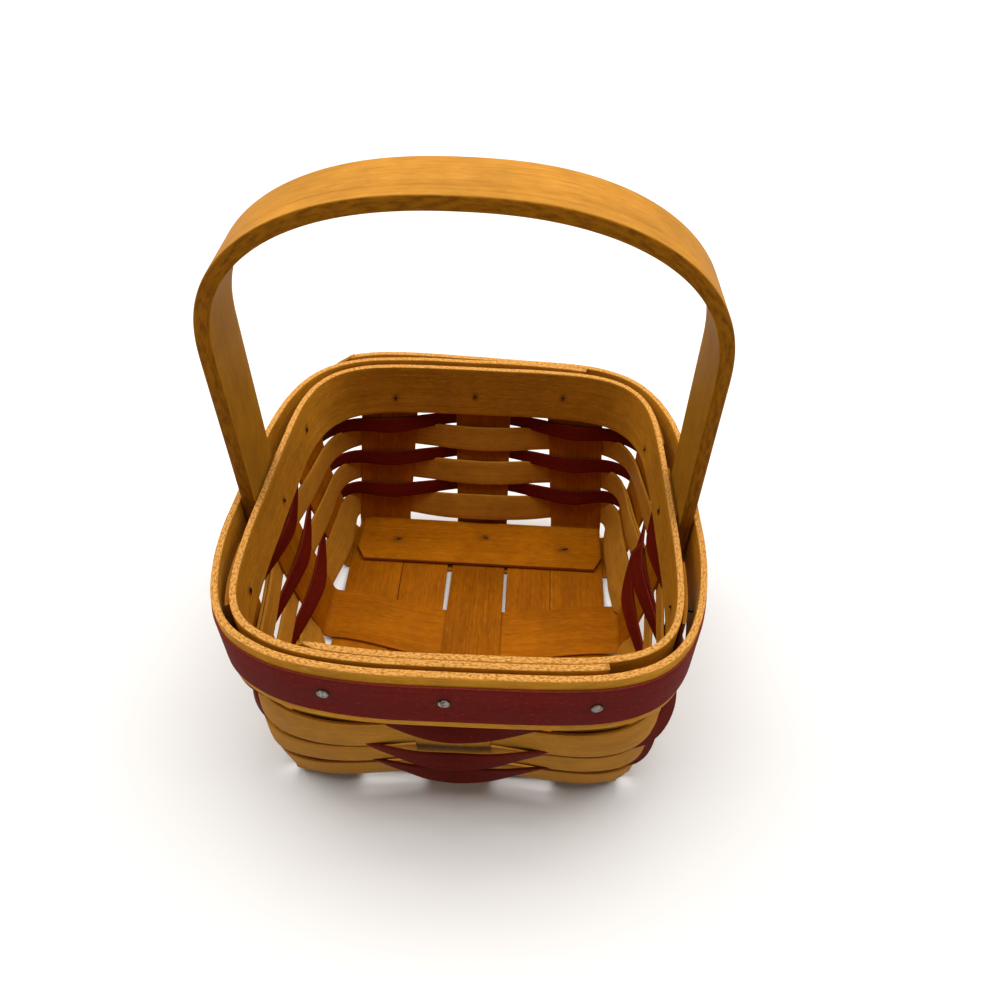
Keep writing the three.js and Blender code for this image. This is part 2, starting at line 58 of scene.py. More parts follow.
def makeCamera():
    # looks along y, turned by yaw about z, tipped by pitch, then rolled about its own line of sight
    yaw, pitch, roll = camera["yaw"], camera["pitch"], camera["roll"]
    ahead = np.array([-np.sin(yaw) * np.cos(pitch), np.cos(yaw) * np.cos(pitch), np.sin(pitch)])
    right = np.array([np.cos(yaw), np.sin(yaw), 0.0])
    up = np.cross(right, ahead)
    axes = [np.cos(roll) * right + np.sin(roll) * up, np.cos(roll) * up - np.sin(roll) * right, -ahead]
    data = bpy.data.cameras.new("photoCamera")
    data.sensor_width = camera["sensor"]
    data.lens = camera["focal"] / camera["frame"] * camera["sensor"]
    data.shift_x = 0.5 - camera["centre"][0] / camera["frame"]
    data.shift_y = camera["centre"][1] / camera["frame"] - 0.5
    data.clip_start = camera["near"]
    made = bpy.data.objects.new("photoCamera", data)
    bpy.context.scene.collection.objects.link(made)
    pose = np.eye(4)
    pose[:3, :3] = np.array(axes).T
    pose[:3, 3] = np.array(camera["place"]) * mm
    made.matrix_world = Matrix(pose.tolist())
    bpy.context.scene.camera = made


makeCamera()

stage = {
    "floorHalf": 4.0, "floorColour": (0.68, 0.68, 0.68, 1), "floorRough": 0.9,
    "worldColour": (1.0, 0.985, 0.96, 1), "world": 0.20, "aim": (0, 0, 0.06),
    # name, place and sizes in m, watts, colour
    "lights": [("overhead", (0.02, 0.45, 2.40), (5.6, 2.3), 184.0, (1.0, 0.975, 0.945))],
}


def makeStage():
    # a square of pale paper, an even room and flat lights turned to the aim
    half = stage["floorHalf"]
    mesh = bpy.data.meshes.new("paleFloor")
    mesh.from_pydata([(-half, -half, 0), (half, -half, 0), (half, half, 0), (-half, half, 0)], [], [(0, 1, 2, 3)])
    floor = bpy.data.objects.new("paleFloor", mesh)
    bpy.context.scene.collection.objects.link(floor)
    paper = bpy.data.materials.new("palePaper")
    paper.use_nodes = True
    paperInputs = paper.node_tree.nodes["Principled BSDF"].inputs
    paperInputs["Base Color"].default_value = stage["floorColour"]
    paperInputs["Roughness"].default_value = stage["floorRough"]
    mesh.materials.append(paper)
    world = bpy.data.worlds.new("softRoom")
    world.use_nodes = True
    roomInputs = world.node_tree.nodes["Background"].inputs
    roomInputs["Color"].default_value = stage["worldColour"]
    roomInputs["Strength"].default_value = stage["world"]
    bpy.context.scene.world = world
    for name, place, size, watts, colour in stage["lights"]:
        data = bpy.data.lights.new(name, "AREA")
        data.shape, data.size, data.size_y = "RECTANGLE", *size
        data.energy, data.color = watts, colour
        made = bpy.data.objects.new(name, data)
        bpy.context.scene.collection.objects.link(made)
        back = np.array(place) - np.array(stage["aim"])
        back = back / np.linalg.norm(back)
        side = np.cross([0.0, 1.0, 0.0], back)
        side = side / np.linalg.norm(side)
        pose = np.eye(4)
        pose[:3, :3] = np.array([side, np.cross(back, side), back]).T
        pose[:3, 3] = place
        made.matrix_world = Matrix(pose.tolist())
    bpy.context.scene.view_settings.view_transform = "Standard"


makeStage()
print("camera, floor and light placed")


def ease(x, low, high):
    # smooth step: 0 below low, 1 above high, 3t^2 - 2t^3 between
    t = np.clip((x - low) / (high - low), 0, 1)
    return t * t * (3 - 2 * t)


def waver(x, seed, size, period):
    # slow wandering along a splint: sines of growing length with seeded phases, longer waves weigh more
    growth = np.array([1.0, 1.7, 2.9, 4.3, 7.1])
    phases = np.random.default_rng(seed).uniform(0, turn, len(growth))
    lengths = period * growth
    weights = np.sqrt(lengths) / np.sqrt(lengths).sum()
    return size * (weights * np.sin(np.asarray(x)[..., None] * turn / lengths + phases)).sum(-1)


def soften(values, count):
    # running mean with a bell-shaped weight, ends held
    weights = np.hanning(2 * count + 3)[1:-1]
    padded = np.concatenate([np.full(count, values[0]), values, np.full(count, values[-1])])
    return np.convolve(padded, weights / weights.sum(), "valid")


# plan of the wall's middle at a height, in mm; climb goes from 0 at the foot to 1 at the bands
ringShape = namedtuple("ringShape", "halfX halfY centreY power climb")


def wallRing(height):
    # halves and centre grow by 1 - (1 - climb)^ease, and 1 / power goes evenly from foot to bands
    climb = np.clip((height - wall["footHeight"]) / (wall["bandLow"] - wall["footHeight"]), 0, 1)
    grown = 1 - (1 - climb) ** wall["flareEase"]
    power = 1 / (1 / wall["footPower"] + (1 / wall["rimPower"] - 1 / wall["footPower"]) * climb)
    halfX = wall["footHalfX"] + (wall["rimHalfX"] - wall["footHalfX"]) * grown
    halfY = wall["footHalfY"] + (wall["rimHalfY"] - wall["footHalfY"]) * grown
    centreY = wall["footShift"] + (wall["rimShift"] - wall["footShift"]) * grown
    return ringShape(halfX, halfY, centreY, power, climb)


def slack(angle):
    # how far the rim is pulled in: a bell at the front left corner, wider to its right, and a little along the front
    gap = (angle - np.radians(wall["slackAngle"]) + np.pi) % turn - np.pi
    bell = np.exp(-(gap / np.radians(np.where(gap < 0, *wall["slackSpread"]))) ** 2)
    return wall["slack"] * bell + wall["frontSlack"] * ease(-np.sin(angle), *wall["frontSlackFrom"])


def ringPoint(ring, angle, offset):
    # rounded square in polar form, |x/a|^p + |y/b|^p = 1, moved outwards along its own normal
    halfX, halfY, centreY, power, climb = ring
    c, s = np.cos(angle), np.sin(angle)
    radius = ((np.abs(c) / halfX) ** power + (np.abs(s) / halfY) ** power) ** (-1 / power)
    x, y = radius * c, radius * s
    steepX = np.sign(x) * (np.abs(x) / halfX) ** (power - 1) / halfX
    steepY = np.sign(y) * (np.abs(y) / halfY) ** (power - 1) / halfY
    steep = np.hypot(steepX, steepY)
    offset = offset - slack(angle) * climb
    return x + offset * steepX / steep, centreY + y + offset * steepY / steep


def wallDepth(ring, alongX, lateral):
    # distance of a wall from the middle at a place along it: depth (1 - |place / reach|^p)^(1 / p)
    reach, depth = (ring.halfX, ring.halfY) if alongX else (ring.halfY, ring.halfX)
    return depth * np.maximum(1 - (np.abs(lateral) / reach) ** ring.power, 0) ** (1 / ring.power)


# Shared by all strips: steps of a rounded edge, radians that count as sharp, mm of dark end, range of the grain's shift
splint = {"edgeSteps": 4, "sharpAngle": 0.75, "endReach": 1.6, "grainShift": (100, 900)}


def makeMesh(name, points, faces, uvs, attributes):
    # points in mm, a grain place for each corner of each face and a value of each attribute for each point
    mesh = bpy.data.meshes.new(name)
    mesh.from_pydata((points * mm).tolist(), [], [f for group in faces for f in group.tolist()])
    flat = np.concatenate([np.asarray(uv, float).reshape(-1, 2) for uv in uvs])
    mesh.uv_layers.new(name="grain").uv.foreach_set("vector", (flat * mm).astype(np.float32).ravel())
    for key, values in attributes.items():
        data = mesh.attributes.new(key, "FLOAT", "POINT").data
        data.foreach_set("value", np.asarray(values, np.float32).ravel())
    mesh.polygons.foreach_set("use_smooth", np.ones(len(mesh.polygons), bool))
    mesh.set_sharp_from_angle(angle=splint["sharpAngle"])
    mesh.update()
    made = bpy.data.objects.new(name, mesh)
    bpy.context.scene.collection.objects.link(made)
    return made


def stations(width, thickness, edge, inner):
    # places across a splint, the half thickness there and how much it is edge: a quarter round, flat, a quarter round
    bend = np.linspace(0, np.pi / 2, splint["edgeSteps"])
    left = -width / 2 + edge * (1 - np.cos(bend))
    rise = thickness / 2 - edge * (1 - np.sin(bend))
    edgeWeight = np.cos(bend)
    flat = np.linspace(-width / 2 + edge, width / 2 - edge, inner + 2)[1:-1]
    across = np.concatenate([left, flat, -left[::-1]])
    half = np.concatenate([rise, np.full(inner, thickness / 2), rise[::-1]])
    return across, half, np.concatenate([edgeWeight, np.zeros(inner), edgeWeight[::-1]])


def stripPiece(name, grid, half, edge, seed, closed=False, stainAndShade=None):
    # a middle surface given thickness: front = middle + half * normal, back = middle - half * normal
    rows, cols = grid.shape[:2]
    along = np.roll(grid, -1, 0) - np.roll(grid, 1, 0) if closed else np.gradient(grid, axis=0)
    normal = np.cross(along, np.gradient(grid, axis=1))
    normal /= np.linalg.norm(normal, axis=2, keepdims=True)
    lift = np.broadcast_to(half, (rows, cols))[..., None] * normal
    loop = np.concatenate([grid + lift, (grid - lift)[:, ::-1]], axis=1)
    points, around = loop.reshape(-1, 3), 2 * cols
    i = np.arange(rows if closed else rows - 1)[:, None]
    j = np.arange(around)[None, :]
    iNext, jNext = (i + 1) % rows, (j + 1) % around
    # each side face's corners: row and column of the point, then of its place along and round
    corners = [(i, j, i, j), (iNext, j, i + 1, j), (iNext, jNext, i + 1, j + 1), (i, jNext, i, j + 1)]
    sides = np.stack([np.broadcast_to(a * around + b, (len(i), around)) for a, b, c, d in corners], -1)
    # lengths along the splint and round its section carry the grain
    step = np.linalg.norm(np.diff(grid[:, cols // 2], axis=0, append=grid[:1, cols // 2]), axis=1)
    u = np.concatenate([[0], np.cumsum(step)])
    girth = np.linalg.norm(np.diff(loop, axis=1, append=loop[:, :1]), axis=2).mean(0)
    w = np.concatenate([[0], np.cumsum(girth)])
    shape = (len(i), around)
    uv = np.stack([np.stack([np.broadcast_to(u[c], shape), np.broadcast_to(w[d], shape)], -1)
                   for a, b, c, d in corners], 2)
    faces, uvs = [sides.reshape(-1, 4)], [uv.reshape(-1, 4, 2)]
    if not closed:
        k = np.arange(cols - 1)
        cap = np.stack([k, k + 1, around - 2 - k, around - 1 - k], -1)
        for quads, at, depth in ((cap, u[0], -1), (cap[:, ::-1] + (rows - 1) * around, u[rows - 1], 1)):
            near = np.isin(quads % around, np.arange(cols))
            place = np.where(near, quads % around, around - 1 - quads % around)
            faces.append(quads)
            uvs.append(np.stack([np.where(near, at, at + depth), w[place]], -1))
    a, b, c, d = (points[faces[0][:, n]] for n in range(4))
    volume = (a * np.cross(b, c)).sum() + (a * np.cross(c, d)).sum()
    if volume < 0:
        faces = [f[:, ::-1] for f in faces]
        uvs = [t[:, ::-1] for t in uvs]
    shift = np.random.default_rng(seed).uniform(*splint["grainShift"], 2)
    gone = np.minimum(u[:rows], u[rows - 1] - u[:rows])
    ends = np.zeros(rows) if closed else 1 - ease(gone, 0, splint["endReach"])
    inMiddle = np.array([0, 0, wall["bandHigh"] / 2])
    outer = (normal * (grid - inMiddle)).sum(2) > 0  # the side turned away from the basket's middle
    marks = {
        "outer": 1.0 * np.concatenate([outer, ~outer[:, ::-1]], axis=1),
        "edge": np.broadcast_to(np.concatenate([edge, edge[::-1]]), (rows, around)),
        "ends": np.broadcast_to(ends[:, None], (rows, around)),
        "stainAndShade": np.zeros((rows, around)) if stainAndShade is None else stainAndShade(loop),
    }
    return makeMesh(name, points, faces, [t + shift for t in uvs], marks)


def settle(piece, node, finish):
    # gives a piece its finish and puts it in the place of its solid
    piece.data.materials.append(finish)
    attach(piece, "root")
    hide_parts(node)


def addNode(tree, kind, inputs=None, **settings):
    # a node whose inputs are set, or linked where a socket is given
    made = tree.nodes.new(kind)
    for key, value in settings.items():
        setattr(made, key, value)
    for key, value in (inputs or {}).items():
        if isinstance(value, bpy.types.NodeSocket):
            tree.links.new(value, made.inputs[key])
        else:
            made.inputs[key].default_value = value
    return made


def mixColour(tree, share, first, second, blend="MIX"):
    # inputs 6 and 7 and output 2 are the node's colours
    made = addNode(tree, "ShaderNodeMix", {0: share, 6: first, 7: second}, data_type="RGBA", blend_type=blend)
    return made.outputs[2]


def between(tree, value, low, high, toLow=0.0, toHigh=1.0):
    # straight from toLow at low to toHigh at high, held beyond
    made = addNode(tree, "ShaderNodeMapRange", {0: value, 1: low, 2: high, 3: toLow, 4: toHigh})
    return made.outputs[0]


def sums(tree, *parts):
    # weighted sum of node values
    total = None
    for value, weight in parts:
        term = addNode(tree, "ShaderNodeMath", {0: value, 1: weight}, operation="MULTIPLY").outputs[0]
        total = term if total is None else addNode(tree, "ShaderNodeMath", {0: total, 1: term}).outputs[0]
    return total


def times(tree, first, second):
    return addNode(tree, "ShaderNodeMath", {0: first, 1: second}, operation="MULTIPLY").outputs[0]


def attribute(tree, name):
    return addNode(tree, "ShaderNodeAttribute", attribute_name=name).outputs["Fac"]


figure = {  # how the patterns of every wood finish are made and mixed
    # detail and shift of each pattern, the shift keeps them apart
    "noise": {
        "fine": (3.0, 0.0), "streak": (2.0, 3.1), "broad": (2.0, 7.7), "speckle": (2.0, 5.3),
        "pore": (1.0, 11.3), "ray": (1.0, 17.9), "speck": (4.0, 23.5),
    },
    "noiseRough": 0.6, "mottleDetail": 4.0, "mottleRough": 0.62,
    "weights": (0.26, 0.24, 0.22, 0.28), "contrast": (0.39, 0.61),
    "mottleRange": (0.32, 0.68), "mottleLift": 0.4, "poreRange": (0.62, 0.74), "rayRange": (0.63, 0.72),
    "speckRange": (0.42, 0.64), "edgeWearAndShadeRange": (0.25, 0.85), "roughRange": (0.35, 0.65), "roughWeights": (0.5, 0.5),
    "relief": (0.6, 0.3, -0.5, 0.3), "reliefDepth": 0.0004,
}


def grainNoise(tree, source, look, pattern):
    # noise stretched along the splint: the look's scales are per metre along and across
    detail, shift = figure["noise"][pattern]
    scaled = addNode(tree, "ShaderNodeMapping", {"Vector": source, "Location": (shift, shift, 0),
                                                 "Scale": (*look[pattern], 1)})
    noise = addNode(tree, "ShaderNodeTexNoise", {"Vector": scaled.outputs[0], "Scale": 1.0, "Detail": detail,
                                                 "Roughness": figure["noiseRough"]})
    return noise.outputs[0]


def woodFinish(name, look):
    # streaked grain from dark to light, blotches, short dark pores, light rays, worn edges (on the handle partly
    # painted shade), dark ends, stains with painted shade, and painted light on the faces turned out
    finish = bpy.data.materials.new(name)
    finish.use_nodes = True
    tree = finish.node_tree
    shader = tree.nodes["Principled BSDF"]
    grain = addNode(tree, "ShaderNodeUVMap", uv_map="grain").outputs[0]
    place = addNode(tree, "ShaderNodeTexCoord").outputs["Object"]
    patterns = ("fine", "streak", "broad", "speckle")
    fine, streak, broad, speckle = (grainNoise(tree, grain, look, pattern) for pattern in patterns)
    mottle = addNode(tree, "ShaderNodeTexNoise", {"Vector": place, "Scale": look["mottleScale"],
                                                  "Detail": figure["mottleDetail"],
                                                  "Roughness": figure["mottleRough"]}).outputs[0]
    mixed = sums(tree, *zip((fine, streak, broad, speckle), figure["weights"]))
    grained = between(tree, mixed, *figure["contrast"])
    inside, outside = (mixColour(tree, grained, look["dark" + side], look["light" + side]) for side in ("", "Outer"))
    # painted light: the faces turned out take the outer tones, set for how the light falls outside the basket
    colour = mixColour(tree, attribute(tree, "outer"), inside, outside)
    low, high = 1 - look["mottle"], 1 + figure["mottleLift"] * look["mottle"]
    shade = between(tree, mottle, *figure["mottleRange"], low, high)
    grey = addNode(tree, "ShaderNodeCombineColor", {0: shade, 1: shade, 2: shade}).outputs[0]
    colour = mixColour(tree, 1.0, colour, grey, "MULTIPLY")
    pore = between(tree, grainNoise(tree, grain, look, "pore"), *figure["poreRange"])
    colour = mixColour(tree, times(tree, pore, look["poreShare"]), colour, look["poreColour"])
    ray = between(tree, grainNoise(tree, grain, look, "ray"), *figure["rayRange"])
    colour = mixColour(tree, times(tree, ray, look["rayShare"]), colour, look["rayColour"])
    speck = between(tree, grainNoise(tree, grain, look, "speck"), *figure["speckRange"])
    edgeColour = mixColour(tree, times(tree, speck, look["speckShare"]), look["edgeColour"], look["speckColour"])
    # edges take the edge colour: wear, and on the handle painted shade where its narrow sides face away from the light
    wornAndShadedEdge = between(tree, attribute(tree, "edge"), *figure["edgeWearAndShadeRange"])
    colour = mixColour(tree, times(tree, wornAndShadedEdge, look["edgeShare"]), colour, edgeColour)
    colour = mixColour(tree, times(tree, attribute(tree, "ends"), look["endShare"]), colour, look["endColour"])
    # stains and rust, and painted shade where a piece gives it: the filler joints and the rings round the trim's tack
    # heads
    colour = mixColour(tree, attribute(tree, "stainAndShade"), colour, look["stainAndShadeColour"])
    tree.links.new(colour, shader.inputs["Base Color"])
    uneven = sums(tree, *zip((fine, mottle), figure["roughWeights"]))
    rough = between(tree, uneven, *figure["roughRange"], *look["rough"])
    tree.links.new(rough, shader.inputs["Roughness"])
    shader.inputs["Specular IOR Level"].default_value = look["gloss"]
    height = sums(tree, *zip((fine, streak, pore, mottle), figure["relief"]))
    bump = addNode(tree, "ShaderNodeBump", {"Height": height, "Strength": look["bump"],
                                            "Distance": figure["reliefDepth"]})
    tree.links.new(bump.outputs[0], shader.inputs["Normal"])
    return finish


def woodLook(**changes):
    # the plain honey look with changes; outer faces take the inner tones where none are given
    look = {
        "light": (0.41, 0.128, 0.003, 1), "dark": (0.28, 0.075, 0.001, 1),
        "fine": (28, 1300), "streak": (9, 300), "broad": (14, 50), "speckle": (240, 800),
        "mottleScale": 70, "mottle": 0.16,
        "pore": (170, 1900), "poreShare": 0.30, "poreColour": (0.10, 0.026, 0.001, 1),
        "ray": (150, 1100), "rayShare": 0.30, "rayColour": (0.46, 0.185, 0.020, 1),
        "edgeColour": (0.42, 0.165, 0.020, 1), "edgeShare": 0.5, "speck": (1000, 2100),
        "speckShare": 0.6, "speckColour": (0.22, 0.070, 0.005, 1),
        "endColour": (0.12, 0.040, 0.004, 1), "endShare": 0.5, "stainAndShadeColour": (0.045, 0.014, 0.004, 1),
        "rough": (0.46, 0.64), "gloss": 0.02, "bump": 0.35,
    }
    look.update(changes)
    for tone in ("light", "dark"):
        look.setdefault(tone + "Outer", look[tone])
    return look


maroon = {
    "poreColour": (0.050, 0.004, 0.003, 1), "edgeShare": 0.6, "speckColour": (0.12, 0.012, 0.009, 1),
    "endColour": (0.16, 0.05, 0.02, 1), "mottle": 0.12, "rough": (0.62, 0.80), "gloss": 0.04,
}
outerPaintedLightTan = {"lightOuter": (0.45, 0.196, 0.022, 1), "darkOuter": (0.35, 0.140, 0.012, 1)}  # the outer faces: painted light, a tan that stands in for how the light falls on the outside, paler than the stakes' inner faces and darker than the weavers'
finishes = {
    "stake": woodFinish("honeySplint", woodLook(**outerPaintedLightTan)),
    # a darker copy of the stake finish for the centre stake: partly the splint's own tone, partly painted shade on the
    # middle of the floor
    "darkShadedStake": woodFinish("brownSplintPaintedShade", woodLook(light=(0.33, 0.102, 0.002, 1), dark=(0.22, 0.058, 0.001, 1),
                                                    **outerPaintedLightTan)),
    "cleat": woodFinish("honeyBoard", woodLook(light=(0.46, 0.148, 0.003, 1), dark=(0.31, 0.088, 0.001, 1),
                                               rayShare=0.5, ray=(120, 800), poreShare=0.4)),
    "weaver": woodFinish("tanSplint", woodLook(light=(0.53, 0.238, 0.027, 1), dark=(0.415, 0.172, 0.014, 1),
                                               rayColour=(0.56, 0.27, 0.06, 1), rayShare=0.2, **outerPaintedLightTan)),
    "band": woodFinish("goldenBand", woodLook(light=(0.57, 0.262, 0.022, 1), dark=(0.41, 0.162, 0.008, 1),
                                              fine=(16, 1200), ray=(200, 1700), rayShare=0.6,
                                              rayColour=(0.66, 0.35, 0.07, 1),
                                              edgeColour=(0.60, 0.300, 0.078, 1), edgeShare=0.95, speckShare=0.95,
                                              speckColour=(0.24, 0.085, 0.008, 1))),
    # painted shade: the handle's inner tones are darker and less blue than its outer ones, for its underside in shade;
    # its dark edge colour is partly painted shade on the narrow sides and partly stain
    "handle": woodFinish("goldenBentwood", woodLook(light=(0.43, 0.196, 0.015, 1), dark=(0.34, 0.141, 0.0085, 1),
                                                    lightOuter=(0.495, 0.228, 0.037, 1),
                                                    darkOuter=(0.39, 0.164, 0.021, 1),
                                                    fine=(14, 900), streak=(7, 200), pore=(60, 800), poreShare=0.35,
                                                    poreColour=(0.24, 0.085, 0.008, 1), edgeShare=0.92,
                                                    edgeColour=(0.29, 0.103, 0.003, 1), speckShare=0.80,
                                                    speck=(260, 900), speckColour=(0.125, 0.036, 0.001, 1))),
    # painted shade: the red's outer tones are darker than its inner ones, holding down the light that falls on the
    # outside
    "red": woodFinish("deepRedStain", woodLook(light=(0.132, 0.0085, 0.0026, 1), dark=(0.088, 0.0048, 0.0014, 1),
                                               lightOuter=(0.110, 0.0066, 0.0018, 1),
                                               darkOuter=(0.073, 0.0038, 0.0010, 1),
                                               rayColour=(0.24, 0.045, 0.022, 1), ray=(900, 1500), rayShare=0.15,
                                               edgeColour=(0.20, 0.026, 0.012, 1), **maroon)),
    "trim": woodFinish("maroonTrim", woodLook(light=(0.155, 0.0092, 0.0050, 1), dark=(0.112, 0.0060, 0.0033, 1),
                                              rayColour=(0.34, 0.09, 0.06, 1), ray=(700, 1400), rayShare=0.22,
                                              edgeColour=(0.28, 0.050, 0.032, 1), **maroon)),
}


steel = {
    "dark": (0.07, 0.060, 0.048, 1), "light": (0.34, 0.32, 0.29, 1), "dirt": (0.022, 0.015, 0.010, 1),
    "cloudScale": 900.0, "cloudDetail": 4.0, "cloudRange": (0.35, 0.65),
    "roughRange": (0.3, 0.7), "rough": (0.50, 0.30), "bump": 0.5, "bumpDepth": 0.0003,
}


def steelFinish():
    # dull grey steel with cloudy tarnish and hammer marks
    finish = bpy.data.materials.new("dullSteel")
    finish.use_nodes = True
    tree = finish.node_tree
    shader = tree.nodes["Principled BSDF"]
    place = addNode(tree, "ShaderNodeTexCoord").outputs["Object"]
    cloud = addNode(tree, "ShaderNodeTexNoise", {"Vector": place, "Scale": steel["cloudScale"],
                                                 "Detail": steel["cloudDetail"]}).outputs[0]
    shine = mixColour(tree, between(tree, cloud, *steel["cloudRange"]), steel["dark"], steel["light"])
    colour = mixColour(tree, attribute(tree, "stainAndShade"), shine, steel["dirt"])
    tree.links.new(colour, shader.inputs["Base Color"])
    tree.links.new(between(tree, cloud, *steel["roughRange"], *steel["rough"]), shader.inputs["Roughness"])
    shader.inputs["Metallic"].default_value = 1.0
    bump = addNode(tree, "ShaderNodeBump", {"Height": cloud, "Strength": steel["bump"], "Distance": steel["bumpDepth"]})
    tree.links.new(bump.outputs[0], shader.inputs["Normal"])
    return finish


finishes["steel"] = steelFinish()
print("finishes made:", ", ".join(finishes))

stake = {
    "width": 22.0, "thickness": 1.0, "edge": 0.25, "floorSpacing": 43.0, "rimSpacing": 38.5, "topDrop": 2.0,
    "levels": (0.5, 1.8, 3.1), "weaveStart": 11.3, "weaveRun": 18.0, "rowStep": 1.4,
    "bendSteps": 9, "columns": 9, "wander": (0.25, 25), "widthWander": (0.008, 15), "driftStart": 8.0,
    "seed": 40, "seedStep": 20, "grainSeed": 11,
    "drift": {  # places given one by one: sideways on the floor, at the two feet and at the two tops, front or left first
        "left": (0.0, (0.0, 0.0), (5.5, 1.0)), "centre": (0.0, (0.0, 0.0), (0.0, 0.0)),
        "right": (-1.4, (0.0, 0.0), (1.4, 0.0)), "front": (1.8, (0.0, 0.0), (1.5, 1.5)),
        "middle": (0.0, (7.5, 5.0), (5.0, 5.0)), "rear": (0.0, (0.0, 0.0), (0.0, 1.0)),
    },
}


def stakeDrift(name, end, climb):
    # sideways place on a wall: from the foot's drift to the top's as the wall climbs
    onFloor, feet, tops = stake["drift"][name]
    return onFloor + feet[end] + (tops[end] - feet[end]) * climb


def floorHeight(depth, level, crossing):
    # from the height at the crossing in the middle, eased to the splint's own level
    start = stake["weaveStart"]
    return crossing + (level - crossing) * ease(np.abs(depth), start, start + stake["weaveRun"])


def stakeGrid(alongX, place, level, crossing, across, seed, drifter):
    # up one wall, round a quarter bend, over the floor, round the other bend and up the other wall
    foot, footHalf = wall["footHeight"], wall["footHalfY" if alongX else "footHalfX"]
    footShift = wall["footShift"]
    radius = foot - level
    flatHalf = footHalf - radius
    top = wall["bandHigh"] - stake["topDrop"]
    heights = np.linspace(top, foot, int((top - foot) / stake["rowStep"]), endpoint=False)[:, None]
    bends = np.linspace(np.pi / 2, 0, stake["bendSteps"], endpoint=False)[:, None]
    runs = np.linspace(-flatHalf, flatHalf, int(2 * flatHalf / stake["rowStep"]))[:, None]

    def oneWall(side):
        ring = wallRing(heights)
        spacing = stake["floorSpacing"] + (stake["rimSpacing"] - stake["floorSpacing"]) * ring.climb
        end = (side + 1) // 2
        shove = waver(heights, seed + side, *stake["wander"]) + stakeDrift(drifter, end, ring.climb)
        wide = across * (1 + waver(heights, seed + 5 + side, *stake["widthWander"]))
        lateral = place * spacing + wide + shove
        depth = wallDepth(ring, alongX, lateral)
        angle = np.arctan2(side * depth, lateral) if alongX else np.arctan2(lateral, side * depth)
        depth = side * (depth - slack(angle) * ring.climb)
        shiftX, shiftY = (0, ring.centreY) if alongX else (ring.centreY - footShift, 0)
        up = np.stack(np.broadcast_arrays(lateral + shiftX, depth + shiftY, heights), -1)
        onFloor = place * stake["floorSpacing"] + across + stakeDrift(drifter, end, 0)
        footDepth = wallDepth(wallRing(foot), alongX, onFloor)
        reach = side * (flatHalf + (footDepth - flatHalf) * np.sin(bends)) + (footShift if alongX else 0)
        lateral = np.broadcast_to(onFloor, reach.shape)
        bend = np.stack(np.broadcast_arrays(lateral, reach, foot - radius * np.cos(bends)), -1)
        return np.concatenate([up, bend])

    onFloor, feet = stake["drift"][drifter][:2]
    shove = onFloor + sum(feet[end] * ease((2 * end - 1) * runs, stake["driftStart"], flatHalf) for end in (0, 1))
    wide = across * (1 + waver(runs, seed + 9, *stake["widthWander"]))
    lateral = place * stake["floorSpacing"] + wide + shove
    along = runs + (footShift if alongX else 0)
    floor = np.stack(np.broadcast_arrays(lateral, along, floorHeight(runs, level, crossing)), -1)
    grid = np.concatenate([oneWall(-1), floor, oneWall(1)[::-1]])
    return grid if alongX else grid[..., [1, 0, 2]]


def makeStakes():
    # name, node, whether it runs from front to back, place, level on the floor and at the crossing, drift
    low, mid, high = stake["levels"]
    across, half, edge = stations(stake["width"], stake["thickness"], stake["edge"], stake["columns"])
    plan = [
        ("stakeLeft", "stake_left", True, -1, mid, low, "left"),
        ("stakeCentre", "stake_centre", True, 0, mid, high, "centre"),
        ("stakeRight", "stake_right", True, 1, mid, low, "right"),
        ("crossStakeFront", "cross_stake_front", False, -1, low, low, "front"),
        ("crossStakeMiddle", "cross_stake_middle", False, 0, mid, mid, "middle"),
        ("crossStakeRear", "cross_stake_rear", False, 1, low, low, "rear"),
    ]
    for n, (name, node, alongX, place, level, crossing, drifter) in enumerate(plan):
        seed = stake["seed"] + stake["seedStep"] * n
        grid = stakeGrid(alongX, place, level, crossing, across, seed, drifter)
        # the centre stake takes the darker copy, partly painted shade
        finish = finishes["darkShadedStake" if drifter == "centre" else "stake"]
        settle(stripPiece(name, grid, half, edge, stake["grainSeed"] + n), node, finish)


makeStakes()
print("stakes made")

filler = {
    "thickness": 1.0, "edge": 0.45, "ends": (-52.3, 54.0), "drop": 0.1, "rows": 90, "columns": 6,
    "spans": {"Left": (-32.05, -13.0), "Right": (12.3, 30.65)}, "widthWander": (0.004, 15),
    "jointShadeAndDirt": 0.9, "jointReach": 0.3, "seed": 70, "grainSeed": 31,
}


def makeFillers():
    # flat strips on the floor beside the centre stake, at the height of the outer stakes
    runs = np.linspace(*filler["ends"], filler["rows"])[:, None]
    for n, (side, (first, last)) in enumerate(filler["spans"].items()):
        across, half, edge = stations(last - first, filler["thickness"], filler["edge"], filler["columns"])
        x = (first + last) / 2 + across * (1 + waver(runs, filler["seed"] + n, *filler["widthWander"]))
        height = floorHeight(runs, stake["levels"][1], stake["levels"][0]) - filler["drop"]
        grid = np.stack(np.broadcast_arrays(x, runs + wall["footShift"], height), -1)
        joint = first if side == "Left" else last

        def stainAndShade(loop):  # painted shade and dirt in the joint with the stake
            return filler["jointShadeAndDirt"] * (np.abs(loop[..., 0] - joint) < filler["jointReach"])

        piece = stripPiece("floorFiller" + side, grid, half, edge, filler["grainSeed"] + n, stainAndShade=stainAndShade)
        settle(piece, "floor_filler_" + side.lower(), finishes["stake"])


makeFillers()

